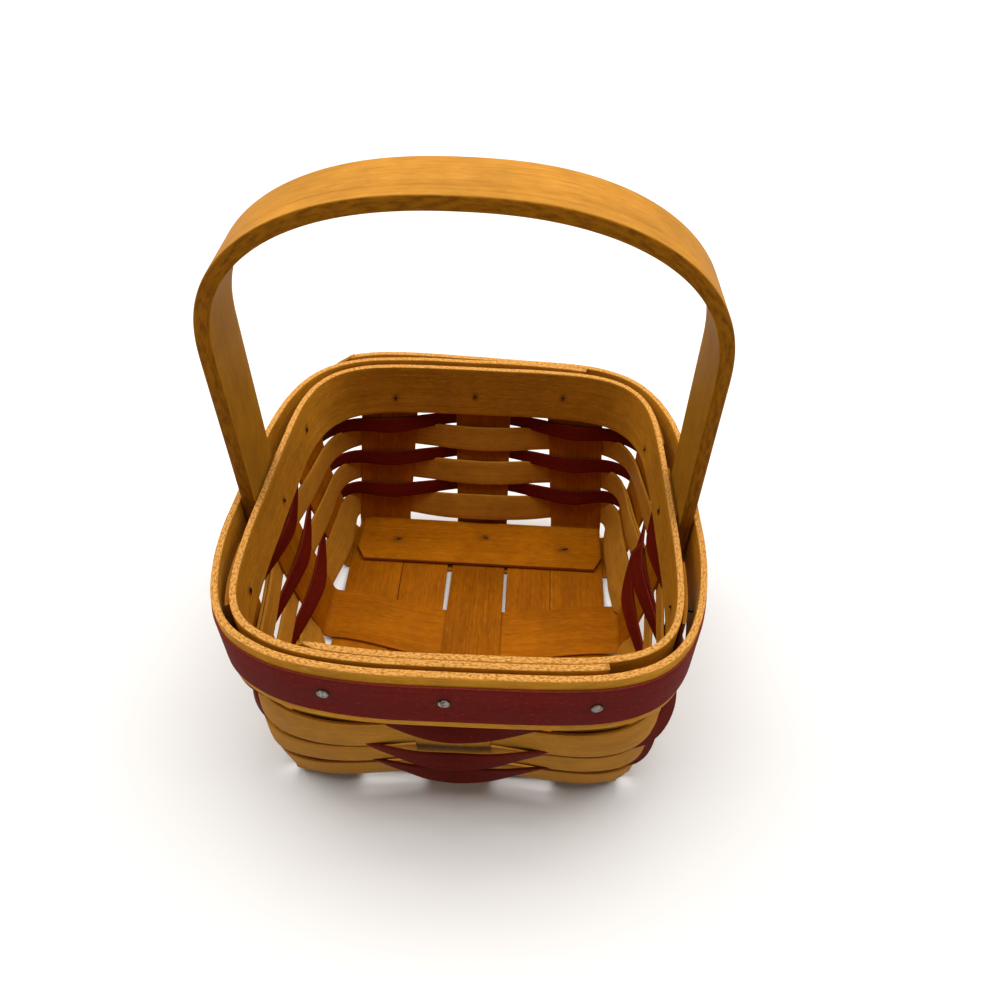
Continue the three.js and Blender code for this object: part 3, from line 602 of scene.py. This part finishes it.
cleat = {
    "halfLength": 52.2, "width": 23.2, "thickness": 1.8, "chamferX": 3.5, "chamferY": 6.0, "edge": 0.35, "low": 2.6,
    "middles": (42.5, 45.3), "slew": 0.014, "rows": 90, "columns": 13, "endSteps": (0, 0.15, 0.4),
    "tackStainAndShade": 0.85, "tackStainAndShadeReach": (2.2, 1.2), "grainSeed": 35,
}
floorTack = {"shifts": [(7, 2), (1.5, 5), (-7, 0)], "seat": 0.5, "headHeight": 0.4, "swing": 0.5,
             "swingSeed": 750, "dentSeed": 450}


def floorTackPlaces(side):
    # one at each crossing of stake and cross stake under a cleat, shifted as hand-driven
    spacing = stake["floorSpacing"]
    return [((n - 1) * spacing + x, side * spacing + y) for n, (x, y) in enumerate(floorTack["shifts"])]


def makeCleats():
    # flat board laid a little askew, its two corners towards the middle cut off
    across, half, edge = stations(cleat["width"], cleat["thickness"], cleat["edge"], cleat["columns"])
    ends = np.array(cleat["endSteps"])
    runs = np.linspace(-cleat["halfLength"], cleat["halfLength"], cleat["rows"])
    runs = np.unique(np.concatenate([runs, ends - cleat["halfLength"], cleat["halfLength"] - ends]))[:, None]
    left = cleat["halfLength"] - np.abs(runs)
    cut = cleat["chamferY"] * np.clip(1 - left / cleat["chamferX"], 0, 1)
    reach = np.where(across < 0, 1 - 2 * cut / cleat["width"], 1)
    sides = ((-1, "floorCleatFront", "floor_cleat_front"), (1, "floorCleatRear", "floor_cleat_rear"))
    for middle, (side, name, node) in zip(cleat["middles"], sides):
        y = side * (middle + across * reach) - cleat["slew"] * runs
        grid = np.stack(np.broadcast_arrays(runs, y, cleat["low"] + cleat["thickness"] / 2 + 0 * y), -1)
        tacks = np.array(floorTackPlaces(side))

        def stainAndShade(loop):  # rust round the tack points
            gap = (loop[..., None, :2] - tacks) / np.array(cleat["tackStainAndShadeReach"])
            return cleat["tackStainAndShade"] * np.exp(-(gap ** 2).sum(-1)).max(-1)

        piece = stripPiece(name, grid, half, edge, cleat["grainSeed"] + side, stainAndShade=stainAndShade)
        settle(piece, node, finishes["cleat"])


makeCleats()
print("floor made")

weaver = {
    "thickness": 0.9, "edge": 0.25, "columns": 5, "overrun": 0.8, "firstLow": 8.6, "rowPitch": 17.4, "rowStep": 1.1,
    "rounding": 7, "lapStep": 1.15, "startIn": 1.0, "visits": 14,  # stakes passed: once round and two again
    "stakes": ("front", "middle", "rear", "right", "centre", "left",
               "rear", "middle", "front", "left", "centre", "right"),
    "widthWander": (0.02, 12), "levelWander": (0.12, 30), "seedStep": 10, "fineSteps": 4000, "fineLead": 0.5,
    "frontFrom": (0.62, 0.80), "frontMiddleFrom": (0.80, 0.90), "bulgeFrom": (-0.3, 1.9),
    "slopeBell": (29.0, 14.0),  # from the middle of the back wall
    "leftBell": (225.0, 5.0), "twistBell": (322.0, 9.0),  # at the front left and right corners
    "sagIn": (0.6, 0.3), "sagInFront": 0.7,
    "droop": {  # degrees from the wall's middle towards the back, or towards the front
        "corner": (41.0, 47.0), "right": (6.0, 13.0), "rightLess": (20.0, 30.0), "rightLoss": 0.35,
        "left": (6.0, 15.0), "leftShare": 0.6, "front": (1.0, 11.0), "frontEnd": (20.0, 34.0), "frontShare": 0.9,
    },
    # values by row from the lowest; pairs are first inside, then outside;
    # tilts inside and shares outside are by wall: right, back, left, front
    "natural": {
        "height": (12.4, 11.6, 11.6), "middle": (5.4, 5.8, 5.8), "sign": 1, "start": (7, 1, 7), "seed": 207,
        "swing": ((1.8, 1.7, 1.6), (1.6, 1.6, 1.7)), "outShare": (1.0, 1.0, 1.0, 1.0), "straight": 0.2,
        "inTilt": ((-0.10, -0.08, -0.10, 0.0), (0.10, -0.03, 0.04, 0.0), (0.10, -0.03, 0.04, 0.0)),
        "outTilt": (0.0, 0.03, 0.05), "passDrop": (0.0, 0.0, 0.0), "sag": (4.8, 0.0, 0.0),
        "backDrop": ((1.2, 0.0, 0.0), (0.3, 0.0, 0.0)),  # between the stakes and at the stakes
        "backSlope": (0.0, 0.0, 0.0),  # from the middle of the back wall down to its corners
        "frontRise": (0.3, -0.7, -0.7), "frontOut": (0.0, -0.1, 0.3), "frontPass": (0.0, 0.0, 0.0),
        "frontGrow": (0.07, 0.08, 0.20), "crossOut": 0.0, "twist": (0.0, 0.0, 0.0), "leftOut": (0.3, 0.5, 0.2),
    },
    "red": {
        "height": (6.2, 6.2, 6.2), "middle": (14.5, 14.5, 14.5), "sign": -1, "start": (8, 0, 8), "seed": 203,
        "swing": ((2.8, 2.8, 2.8), (2.8, 2.8, 2.8)), "outShare": (1.2, 1.0, 0.8, 1.0), "straight": 0.5,
        "inTilt": ((-0.42, -0.29, -0.45, -0.45), (-0.42, -0.29, -0.28, -0.45), (-0.35, -0.26, -0.14, -0.40)),
        "outTilt": (0.38, 0.40, 0.42), "passDrop": (0.7, 0.7, 1.1), "sag": (0.0, 0.0, 0.0),
        "backDrop": ((0.0, 0.0, 0.0), (0.0, 0.0, 0.0)), "backSlope": (1.1, 1.3, 1.4),
        "frontRise": (0.0, 0.0, 0.0), "frontOut": (0.8, 1.2, 0.0), "frontPass": (-2.2, -2.6, -0.5),
        "frontGrow": (0.29, 0.16, 0.08), "crossOut": 1.4, "twist": (0.40, 0.40, 0.16), "leftOut": (-0.7, -0.8, 0.0),
    },
}


def weaverPath(height, kind, row):
    # a cosine wave, partly straightened, from one side of a stake to the other side of the next
    ring = wallRing(np.array(height))
    stakeCount = len(weaver["stakes"])
    visit = np.arange(weaver["visits"])
    index = (kind["start"][row] + visit) % stakeCount
    wallNumber, slot = index // 3, index % 3
    alongX = wallNumber % 2 == 1
    side = np.where(wallNumber < 2, 1, -1)
    place = np.where((side > 0) == alongX, 1 - slot, slot - 1)
    outside = np.where(index % 2 == 1, kind["sign"], -kind["sign"])
    doubled = ((visit <= 1) & (outside < 0)) | ((visit >= stakeCount) & (outside > 0))
    ends = (index < stakeCount // 2).astype(int)  # right and back walls come second
    drift = np.array([stakeDrift(weaver["stakes"][n], end, ring.climb) for n, end in zip(index, ends)])
    spacing = stake["floorSpacing"] + (stake["rimSpacing"] - stake["floorSpacing"]) * ring.climb
    lateral = place * spacing + drift
    depth = side * np.where(alongX, wallDepth(ring, True, lateral), wallDepth(ring, False, lateral))
    crossing = np.unwrap(np.where(alongX, np.arctan2(depth, lateral), np.arctan2(lateral, depth)))
    inSwing, outSwing = (swing[row] for swing in kind["swing"])
    swing = np.where(outside < 0, inSwing, outSwing * np.array(kind["outShare"])[wallNumber])
    offset = outside * (swing + doubled * weaver["lapStep"])
    tilt = np.where(outside < 0, np.array(kind["inTilt"])[row][wallNumber], kind["outTilt"][row])
    lead = weaver["fineLead"]  # a little beyond both ends
    angle = np.linspace(crossing[0] - lead, crossing[-1] + lead, weaver["fineSteps"])
    x, y = ringPoint(ring, angle, 0)
    length = np.concatenate([[0], np.cumsum(np.hypot(np.diff(x), np.diff(y)))])
    middle = np.interp(crossing, angle, length)
    reach = stake["width"] / 2 + weaver["overrun"]
    even = np.arange(middle[0] + weaver["startIn"], middle[-1] + reach, weaver["rowStep"])
    passed = np.interp(even, middle, visit)
    before = np.minimum(passed.astype(int), weaver["visits"] - 2)
    gone = passed - before
    swung = kind["straight"] * gone + (1 - kind["straight"]) * (1 - np.cos(np.pi * gone)) / 2

    def blend(values):
        return values[before] * (1 - swung) + values[before + 1] * swung

    near = soften((2 * swung - 1) ** 2, weaver["rounding"])
    return even, np.interp(even, length, angle), soften(blend(offset), weaver["rounding"]), blend(tilt), near


def cornerSag(angle):
    # droop of the lower edge on the left and right walls, by the angle towards the back: a low bell in front of the
    # middle stake, and behind it a long one, deeper on the right
    droop = weaver["droop"]
    toBack = np.degrees(np.arcsin(np.sin(angle)))
    corner = 1 - ease(toBack, *droop["corner"])
    right = ease(toBack, *droop["right"]) * (1 - droop["rightLoss"] * ease(toBack, *droop["rightLess"])) * corner
    left = droop["leftShare"] * ease(toBack, *droop["left"]) * corner
    front = ease(-toBack, *droop["front"]) * (1 - ease(-toBack, *droop["frontEnd"]))
    return np.where(np.cos(angle) > 0, right, left) + droop["frontShare"] * front


def bell(angle, middle, spread):
    # 1 at the middle, falling with the square of the turn from it: exp(-(gap / spread)^2), in degrees
    gap = np.degrees((angle - np.radians(middle) + np.pi) % turn - np.pi)
    return np.exp(-(gap / spread) ** 2)


def makeWeavers():
    # a strip along the weaver's path: height by row and place, way out by swing and tilt
    slopeAt, slopeSpread = weaver["slopeBell"]
    for kindName, slot, finish in (("natural", "weaver_wood", "weaver"), ("red", "red_stain", "red")):
        kind = weaver[kindName]
        for row, rowName in enumerate(("Low", "Middle", "High")):
            seed = kind["seed"] + weaver["seedStep"] * row
            tall = kind["height"][row]
            across, half, edge = stations(tall, weaver["thickness"], weaver["edge"], weaver["columns"])
            height = weaver["firstLow"] + row * weaver["rowPitch"] + kind["middle"][row]
            even, angle, offset, tilt, near = weaverPath(height, kind, row)
            tilt = tilt + kind["twist"][row] * bell(angle, *weaver["twistBell"])
            front, back = (ease(side * np.sin(angle), *weaver["frontFrom"]) for side in (-1, 1))
            frontMiddle = ease(-np.sin(angle), *weaver["frontMiddleFrom"])
            bulged = frontMiddle * ease(offset, *weaver["bulgeFrom"])
            offset = offset + kind["leftOut"][row] * bell(angle, *weaver["leftBell"])
            # width: taller on the whole front for natural weavers, only where they bulge for red ones
            grown = 1 + kind["frontGrow"][row] * (front if kind["sign"] > 0 else bulged)
            wide = across * ((1 + waver(even, seed, *weaver["widthWander"])) * grown)[:, None]
            # height: wandering, with drops at the stakes, on the front, on the back and towards the back corners
            level = height + waver(even, seed + 1, *weaver["levelWander"]) - kind["passDrop"][row] * near
            level += kind["frontRise"][row] * front + kind["frontPass"][row] * bulged
            betweenStakes, atStakes = (drop[row] for drop in kind["backDrop"])
            level -= back * (betweenStakes * (1 - near) + atStakes * near)
            fromBack = np.degrees(np.abs((angle - np.pi / 2 + np.pi) % turn - np.pi))
            level -= kind["backSlope"][row] * np.exp(-((fromBack - slopeAt) / slopeSpread) ** 2)
            sag = kind["sag"][row] * cornerSag(angle)[:, None] * (0.5 - across / tall)  # none at the upper edge
            rise = level[:, None] + wide * np.cos(tilt)[:, None] - sag
            # way out from the wall: swing, then the tilt of the strip and the push of the droop
            pushed = np.where(np.sin(angle) < 0, weaver["sagInFront"], np.where(np.cos(angle) > 0, *weaver["sagIn"]))
            swung = offset + kind["frontOut"][row] * front + kind["crossOut"] * (1 - near) * frontMiddle
            out = swung[:, None] - wide * np.sin(tilt)[:, None] - pushed[:, None] * sag
            x, y = ringPoint(wallRing(rise), angle[:, None], out)
            piece = stripPiece("weaver" + kindName.title() + rowName, np.stack([x, y, rise], -1), half, edge, seed)
            settle(piece, "weaver_" + kindName + "_" + rowName.lower(), finishes[finish])


makeWeavers()
print("weavers made")

band = {
    "height": 22.5, "thickness": 2.0, "edge": 0.35, "columns": 17, "offset": 1.6, "lapStep": 2.05, "lapEase": 20.0,
    "innerLap": (238.5, 303.0), "outerLap": (58.5, 134.0), "rowStep": 1.1, "outerExtra": 2.1,
    "endLift": 2.3, "endLiftFrom": (1.4, 0.2),  # radians before the outer band's end
    "startLift": 1.1, "startLiftAt": 0.9, "startLiftEase": (0.4, 1.0),  # radians after its start
    "handleStep": (4.6, 3.9), "handleReach": 15.5, "handleEase": (42.0, 38.0),
    "topWave": (0.22, 26), "topRipple": (0.10, 7), "sideWave": (0.12, 30),
    "jags": (2.4, 2.2), "jagBack": 0.6, "jagReach": 5.0, "thinEnd": 0.45, "thinReach": 4.0,  # inner band's ragged start
    "slant": 1.7, "slantHeight": 4.0, "slantReach": 9.0,  # outer band's cut end
    "tackStainAndShade": 0.8, "tackStainAndShadeReach": (1.1, 1.7), "tackStainDrop": 0.6, "fineSteps": 2000,
    "jagSeed": 301, "innerSeed": 310, "outerSeed": 330, "innerGrainSeed": 51, "outerGrainSeed": 52,
}
rimRing = wallRing(np.array(wall["bandLow"]))


def handleBulge(angle):
    # room that the outer band leaves for the handle's legs
    near = np.arctan2(band["handleReach"], rimRing.halfX)
    onRight = np.cos(angle) > 0
    step, reach = np.where(onRight, *band["handleStep"]), np.radians(np.where(onRight, *band["handleEase"]))
    return step * (1 - ease(np.abs(np.arcsin(np.sin(angle))), near, near + reach))


def innerLap(angle):
    # 1 where the inner band lies over its own end, eased out behind it
    start, end = np.radians(band["innerLap"])
    return 1 - ease((angle - start) % turn, end - start, end - start + np.radians(band["lapEase"]))


def outerLap(angle):
    # 1 where the outer band lies over its own start, eased in and out
    start, end = np.radians(band["outerLap"])
    lead = np.radians(band["lapEase"])
    gone = (angle - start + lead) % turn
    return ease(gone, 0, lead) * (1 - ease(gone, lead + end - start, 2 * lead + end - start))


def evenAngles(start, end, step):
    # angles whose points are evenly spaced along the rim
    angle = np.linspace(start, end, band["fineSteps"])
    x, y = ringPoint(rimRing, angle, 0)
    length = np.concatenate([[0], np.cumsum(np.hypot(np.diff(x), np.diff(y)))])
    even = np.linspace(0, length[-1], int(length[-1] / step))
    return even, np.interp(even, length, angle)


def bandGrid(angle, even, offset, across, middle, seed, endCut, lift):
    # the rim's plan moved out by offset, its height wandering a little, its two ends cut as endCut says
    wave = waver(even, seed, *band["topWave"]) + waver(even, seed + 1, *band["topRipple"])
    rise = middle + across + (lift + wave)[:, None]
    cut = angle[:, None] + endCut(even, across[None, :]) / rimRing.halfX
    x, y = ringPoint(rimRing, cut, (offset + waver(even, seed + 2, *band["sideWave"]))[:, None])
    return np.stack(np.broadcast_arrays(x, y, rise), -1)


rimTack = {
    "shifts": {
        "right": [(3, 0), (5, 0), (1, -3)], "back": [(4, -3), (-3, -1), (-7, 0.5)],
        "left": [(4, -1), (5, -3), (-2, 2)], "front": [(5.5, 0.2), (-1.2, 0.3), (0, -0.6)],
    },
    "headHeight": 0.75, "seat": 0.1, "swing": 0.7, "slopeStep": 0.02, "swingSeed": 700, "dentSeed": 400,
}
trim = {
    "height": 17.0, "thickness": 0.6, "topMargin": 3.9, "offset": 2.9, "edge": 0.2, "columns": 13,
    "waves": ((0.12, 5, 1.0), (0.08, 11, 0.0)),  # size in mm, waves round the rim, start in radians
    # the trim's tack ring is painted shade round each head
    "tackStainAndShade": 0.45, "tackStainAndShadeReach": (2.0, 3.2), "grainSeed": 53,
}


def rimTackPlaces():
    # for each tack: its name, its angle round the rim and its height
    places = []
    for wallNumber, wallName in enumerate(("right", "back", "left", "front")):
        alongX, side = wallNumber % 2 == 1, 1 if wallNumber < 2 else -1
        for n, (along, up) in enumerate(rimTack["shifts"][wallName]):
            lateral = (n - 1) * stake["rimSpacing"] + along
            depth = side * wallDepth(rimRing, alongX, np.array(lateral))
            angle = np.arctan2(depth, lateral) if alongX else np.arctan2(lateral, depth)
            height = (wall["bandLow"] + wall["bandHigh"]) / 2 + up
            places.append((wallName + str(n + 1), float(angle), height))
    return places


def trimFace(angle):
    # the trim's outer face in plan
    out = trim["offset"] + handleBulge(angle) + band["lapStep"] * outerLap(angle) + trim["thickness"] / 2
    return np.array(ringPoint(rimRing, angle, out))


def innerFace(angle):
    # the inner band's inner face in plan
    out = -band["offset"] - band["thickness"] / 2 - band["lapStep"] * innerLap(angle)
    return np.array(ringPoint(rimRing, angle, out))


def makeBands():
    # each band goes once round the rim and on over its own end, a step further from the wall
    across, half, edge = stations(band["height"], band["thickness"], band["edge"], band["columns"])
    middle = (wall["bandLow"] + wall["bandHigh"]) / 2
    start, end = np.radians(band["innerLap"])
    even, angle = evenAngles(start, end + turn, band["rowStep"])
    first = np.where(angle - start < np.pi, innerLap(angle), 0)
    jags = waver(across, band["jagSeed"], *band["jags"]) - band["jagBack"]

    def ragged(length, rise):  # torn end, shifted along the rim by the jags
        return (1 - ease(length, 0, band["jagReach"]))[:, None] * jags[None, :]

    out = -band["offset"] - band["lapStep"] * first
    grid = bandGrid(angle, even, out, across, middle, band["innerSeed"], ragged, 0.0)
    thin = band["thinEnd"] + (1 - band["thinEnd"]) * ease(even, 0, band["thinReach"])
    spots = np.array([[*innerFace(a), h] for name, a, h in rimTackPlaces()])

    def stainAndShade(loop):  # rust round the tack points, a little below them
        reach, tall = band["tackStainAndShadeReach"]
        gap = np.linalg.norm(loop[:, :, None, :2] - spots[:, :2], axis=-1) / reach
        lift = (loop[:, :, None, 2] - spots[:, 2] + band["tackStainDrop"]) / tall
        return band["tackStainAndShade"] * np.exp(-gap ** 2 - lift ** 2).max(-1)

    inner = stripPiece("innerBand", grid, half * thin[:, None], edge, band["innerGrainSeed"], stainAndShade=stainAndShade)
    settle(inner, "inner_band", finishes["band"])
    tall = band["height"] + band["outerExtra"]
    across, half, edge = stations(tall, band["thickness"], band["edge"], band["columns"])
    start, end = np.radians(band["outerLap"])
    even, angle = evenAngles(start, end + turn, band["rowStep"])
    last = np.where(angle - start > np.pi, outerLap(angle), 0)

    def slanted(length, rise):  # the upper corner of the end is cut back
        high = np.maximum(rise - tall / 2 + band["slantHeight"], 0)
        return -ease(length, length[-1] - band["slantReach"], length[-1])[:, None] * high * band["slant"]

    far, near = (end + turn - before for before in band["endLiftFrom"])
    lift = band["endLift"] * ease(angle, far, near)
    fromStart = np.abs(angle - start - band["startLiftAt"])
    lift = lift + band["startLift"] * (1 - ease(fromStart, *band["startLiftEase"]))
    out = band["offset"] + handleBulge(angle) + band["lapStep"] * last
    grid = bandGrid(angle, even, out, across, middle - band["outerExtra"] / 2, band["outerSeed"], slanted, lift)
    outer = stripPiece("outerBand", grid, half, edge, band["outerGrainSeed"])
    settle(outer, "outer_band", finishes["band"])


def makeTrim():
    # a closed strip that follows the outer band's face, with two small waves round the rim
    across, half, edge = stations(trim["height"], trim["thickness"], trim["edge"], trim["columns"])
    even, angle = evenAngles(0.0, turn, band["rowStep"])
    even, angle = even[:-1], angle[:-1]
    high = wall["bandHigh"] - trim["topMargin"]
    out = trim["offset"] + handleBulge(angle) + band["lapStep"] * outerLap(angle)
    wave = sum(size * np.sin(count * angle + start) for size, count, start in trim["waves"])
    rise = high - trim["height"] / 2 + across[None, :] + wave[:, None]
    x, y = ringPoint(rimRing, angle[:, None], out[:, None])
    heads = np.array([[*trimFace(a), h] for name, a, h in rimTackPlaces()])

    def stainAndShade(loop):  # painted shade round the tack heads: a dark ring where the heads would shadow the trim
        gap = np.linalg.norm(loop[:, :, None, :] - heads, axis=-1)
        return trim["tackStainAndShade"] * (1 - ease(gap, *trim["tackStainAndShadeReach"])).max(-1)

    grid = np.stack(np.broadcast_arrays(x, y, rise), -1)
    piece = stripPiece("trimStrip", grid, half, edge, trim["grainSeed"], closed=True, stainAndShade=stainAndShade)
    settle(piece, "trim_strip", finishes["trim"])


makeBands()
makeTrim()
print("bands and trim made")

handle = {
    "width": 23.0, "thickness": 4.0, "edge": 0.55, "columns": 13, "outerHalf": 70.4, "lean": -0.1, "foot": 63.2,
    "legRise": 54.0, "archRise": 48.0, "archPower": 2.3, "archSteps": 141, "legSteps": (14, 36),
    "leftIn": 0.3, "leftTwist": 0.06, "leftFrom": (0.2, 1.0),  # the left leg stands a little in and is twisted
    "rowStep": 1.3, "rounding": 4, "thickest": 1.02, "widthWander": (0.008, 40), "sideWander": (0.15, 50),
    "widthSeed": 361, "sideSeed": 362, "grainSeed": 61,
}


def handleLine(half, rise):
    # straight leg, then |x/half|^p + |z/rise|^p = 1 over the top, then the other leg
    top = wall["bandHigh"] + handle["legRise"]
    t = np.linspace(0, np.pi, handle["archSteps"])
    c, s = np.cos(t), np.abs(np.sin(t))
    archX = half * np.sign(c) * np.abs(c) ** (2 / handle["archPower"])
    archZ = top + rise * s ** (2 / handle["archPower"])
    tucked, bare = handle["legSteps"]
    legZ = np.concatenate([np.linspace(handle["foot"], wall["bandHigh"], tucked, endpoint=False),
                           np.linspace(wall["bandHigh"], top, bare, endpoint=False)])
    legX = half + handle["lean"] * (1 - np.clip((legZ - wall["bandHigh"]) / handle["legRise"], 0, 1))
    return np.stack([np.concatenate([legX, archX, -legX[::-1]]), np.concatenate([legZ, archZ, legZ[::-1]])], -1)


def makeHandle():
    # the middle between an outer and an inner line, evenly spaced, carries the section
    across, half, edge = stations(handle["width"], handle["thickness"], handle["edge"], handle["columns"])
    outerHalf = handle["outerHalf"] - handle["lean"]
    outer = handleLine(outerHalf, handle["archRise"])
    inner = handleLine(outerHalf - handle["thickness"], handle["archRise"] - handle["thickness"])
    middle = (outer + inner) / 2
    step = np.concatenate([[0], np.cumsum(np.linalg.norm(np.diff(middle, axis=0), axis=1))])
    even = np.linspace(0, step[-1], int(step[-1] / handle["rowStep"]))
    x, z = (soften(np.interp(even, step, middle[:, n]), handle["rounding"]) for n in range(2))
    thick = np.interp(even, step, np.linalg.norm(outer - inner, axis=1)) / handle["thickness"]
    y = across[None, :] * (1 + waver(even, handle["widthSeed"], *handle["widthWander"]))[:, None]
    y = y + waver(even, handle["sideSeed"], *handle["sideWander"])[:, None]
    left = ease(-x / outerHalf, *handle["leftFrom"])[:, None]
    x = x[:, None] + left * (handle["leftIn"] - handle["leftTwist"] * across)
    grid = np.stack(np.broadcast_arrays(x, y, z[:, None]), -1)
    half = half * np.minimum(thick, handle["thickest"])[:, None]
    piece = stripPiece("bentHandle", grid, half, edge, handle["grainSeed"])
    settle(piece, "handle", finishes["handle"])


makeHandle()
print("handle made")


tack = {
    "headRadius": 1.65, "crown": (0.12, 7), "upright": 0.25, "underside": 0.97,  # crown: first angle and rows
    "shankRadius": 0.6, "shankStart": 0.4, "bendRadius": 0.7, "tip": 1.5, "tipRadius": 0.32, "tipTaper": 0.85,
    "tipShort": 0.35, "sides": 18, "steps": 5, "dents": 4, "dentReach": 1.2, "dentSize": 0.35, "dentDepth": 0.175,
    "topRise": 0.02, "tipRise": 0.15, "dirt": 0.85,
}


def tackPiece(name, seat, outwards, lie, depth, headHeight, seed):
    # a round profile carried along a path: domed head, shank straight in, then a quarter bend and a tapering point
    sides, steps = tack["sides"], tack["steps"]
    firstAngle, crownRows = tack["crown"]
    dome = np.linspace(firstAngle, np.pi / 2, crownRows)
    shankRadius, bendRadius, tipRadius = tack["shankRadius"], tack["bendRadius"], tack["tipRadius"]
    headZ = headHeight * (tack["upright"] + (1 - tack["upright"]) * np.cos(dome))
    headZ = np.concatenate([headZ, [0.0, 0.0]])
    headR = np.concatenate([tack["headRadius"] * np.sin(dome), [tack["headRadius"] * tack["underside"], shankRadius]])
    shankZ = -np.linspace(tack["shankStart"], depth, steps)
    bend = np.linspace(0, np.pi / 2, steps + 1)[1:]
    point = np.linspace(0, 1, steps + 1)[1:]
    z = np.concatenate([headZ, shankZ, -depth - bendRadius * np.sin(bend), np.full(steps, -depth - bendRadius)])
    straight = np.zeros(len(headZ) + steps)
    run = np.concatenate([straight, bendRadius * (1 - np.cos(bend)), bendRadius + tack["tip"] * point])
    beta = np.concatenate([straight, bend, np.full(steps, np.pi / 2)])
    taper = np.concatenate([np.full(steps, tipRadius), tipRadius * (1 - tack["tipTaper"] * point)])
    radius = np.concatenate([headR, np.full(steps, shankRadius), taper])
    outwards, lie = np.array(outwards, float), np.array(lie, float)
    third = np.cross(outwards, lie)
    centre = seat + z[:, None] * outwards + run[:, None] * lie
    first = np.sin(beta)[:, None] * outwards + np.cos(beta)[:, None] * lie
    phi = np.linspace(0, turn, sides, endpoint=False)
    spread = np.cos(phi)[None, :, None] * first[:, None, :] + np.sin(phi)[None, :, None] * third
    rings = centre[:, None, :] + radius[:, None, None] * spread
    # hammer dents sink the crown by a bell round each
    dents = np.random.default_rng(seed).uniform(-tack["dentReach"], tack["dentReach"], (tack["dents"], 2))
    flat = np.stack([radius[:, None] * np.cos(phi), radius[:, None] * np.sin(phi)], -1)
    count = len(z)
    sink = np.exp(-((flat[:, :, None, :] - dents) ** 2).sum(-1) / tack["dentSize"]).sum(-1)
    sink = np.where((np.arange(count) < crownRows)[:, None], tack["dentDepth"] * headHeight * sink, 0)
    rings = rings - sink[..., None] * outwards
    crownTop = centre[0] + (tack["topRise"] - sink[0].mean()) * outwards
    ends = np.stack([crownTop, centre[-1] + tack["tipRise"] * lie])
    points = np.concatenate([rings.reshape(-1, 3), ends])
    row, j = sides * np.arange(count - 1)[:, None], np.arange(sides)[None, :]
    jNext = (j + 1) % sides
    quads = np.broadcast_arrays(row + j, row + sides + j, row + sides + jNext, row + jNext)
    quads = np.stack(quads, -1).reshape(-1, 4)
    last = (count - 1) * sides
    top = np.stack(np.broadcast_arrays(count * sides, j[0], jNext[0]), -1)
    tip = np.stack(np.broadcast_arrays(count * sides + 1, last + jNext[0], last + j[0]), -1)
    a, b, c, d = (points[quads[:, n]] for n in range(4))
    if (a * np.cross(b, c)).sum() + (a * np.cross(c, d)).sum() < 0:
        quads, top, tip = quads[:, ::-1], top[:, ::-1], tip[:, ::-1]
    dirty = np.where(np.arange(count) < len(headZ), 0.0, tack["dirt"])
    dark = np.concatenate([np.repeat(dirty, sides), [0.0, tack["dirt"]]])
    faces = [quads, top, tip]
    uvs = [points[f][..., :2] for f in faces]
    return makeMesh(name, points, faces, uvs, {"stainAndShade": dark})


def makeTacks():
    # rim tacks go in square to the trim and their points lie down, floor tacks go up and theirs lie to the right
    for n, (place, angle, height) in enumerate(rimTackPlaces()):
        face, step = trimFace(angle), rimTack["slopeStep"]
        onward = trimFace(angle + step) - trimFace(angle - step)  # along the trim
        outwards = np.array([onward[1], -onward[0], 0.0])
        outwards = outwards / np.linalg.norm(outwards)
        seat = np.array([*face, height]) + rimTack["seat"] * outwards
        depth = float(np.linalg.norm(face - innerFace(angle))) + rimTack["seat"] - tack["tipShort"]
        swing = np.random.default_rng(rimTack["swingSeed"] + n).uniform(-rimTack["swing"], rimTack["swing"])
        side = np.cross(outwards, [0.0, 0.0, 1.0])
        lie = np.cos(swing) * np.array([0.0, 0.0, -1.0]) + np.sin(swing) * side
        piece = tackPiece("rimTack" + place.title(), seat, outwards, lie, depth,
                          rimTack["headHeight"], rimTack["dentSeed"] + n)
        settle(piece, "rim_tack_" + place[:-1] + "_" + place[-1], finishes["steel"])
    for side, sideName in ((-1, "front"), (1, "rear")):
        for n, (x, y) in enumerate(floorTackPlaces(side)):
            seat = np.array([x, y, floorTack["seat"]])
            depth = cleat["low"] + cleat["thickness"] - floorTack["seat"] - tack["tipShort"]
            swing = np.random.default_rng(floorTack["swingSeed"] + n).uniform(-floorTack["swing"], floorTack["swing"])
            lie = [np.cos(swing), np.sin(swing), 0.0]
            piece = tackPiece("floorTack" + sideName.title() + str(n + 1), seat, (0, 0, -1), lie, depth,
                              floorTack["headHeight"], floorTack["dentSeed"] + n + side)
            settle(piece, "floor_tack_" + sideName + "_" + str(n + 1), finishes["steel"])


makeTacks()
print("tacks made")
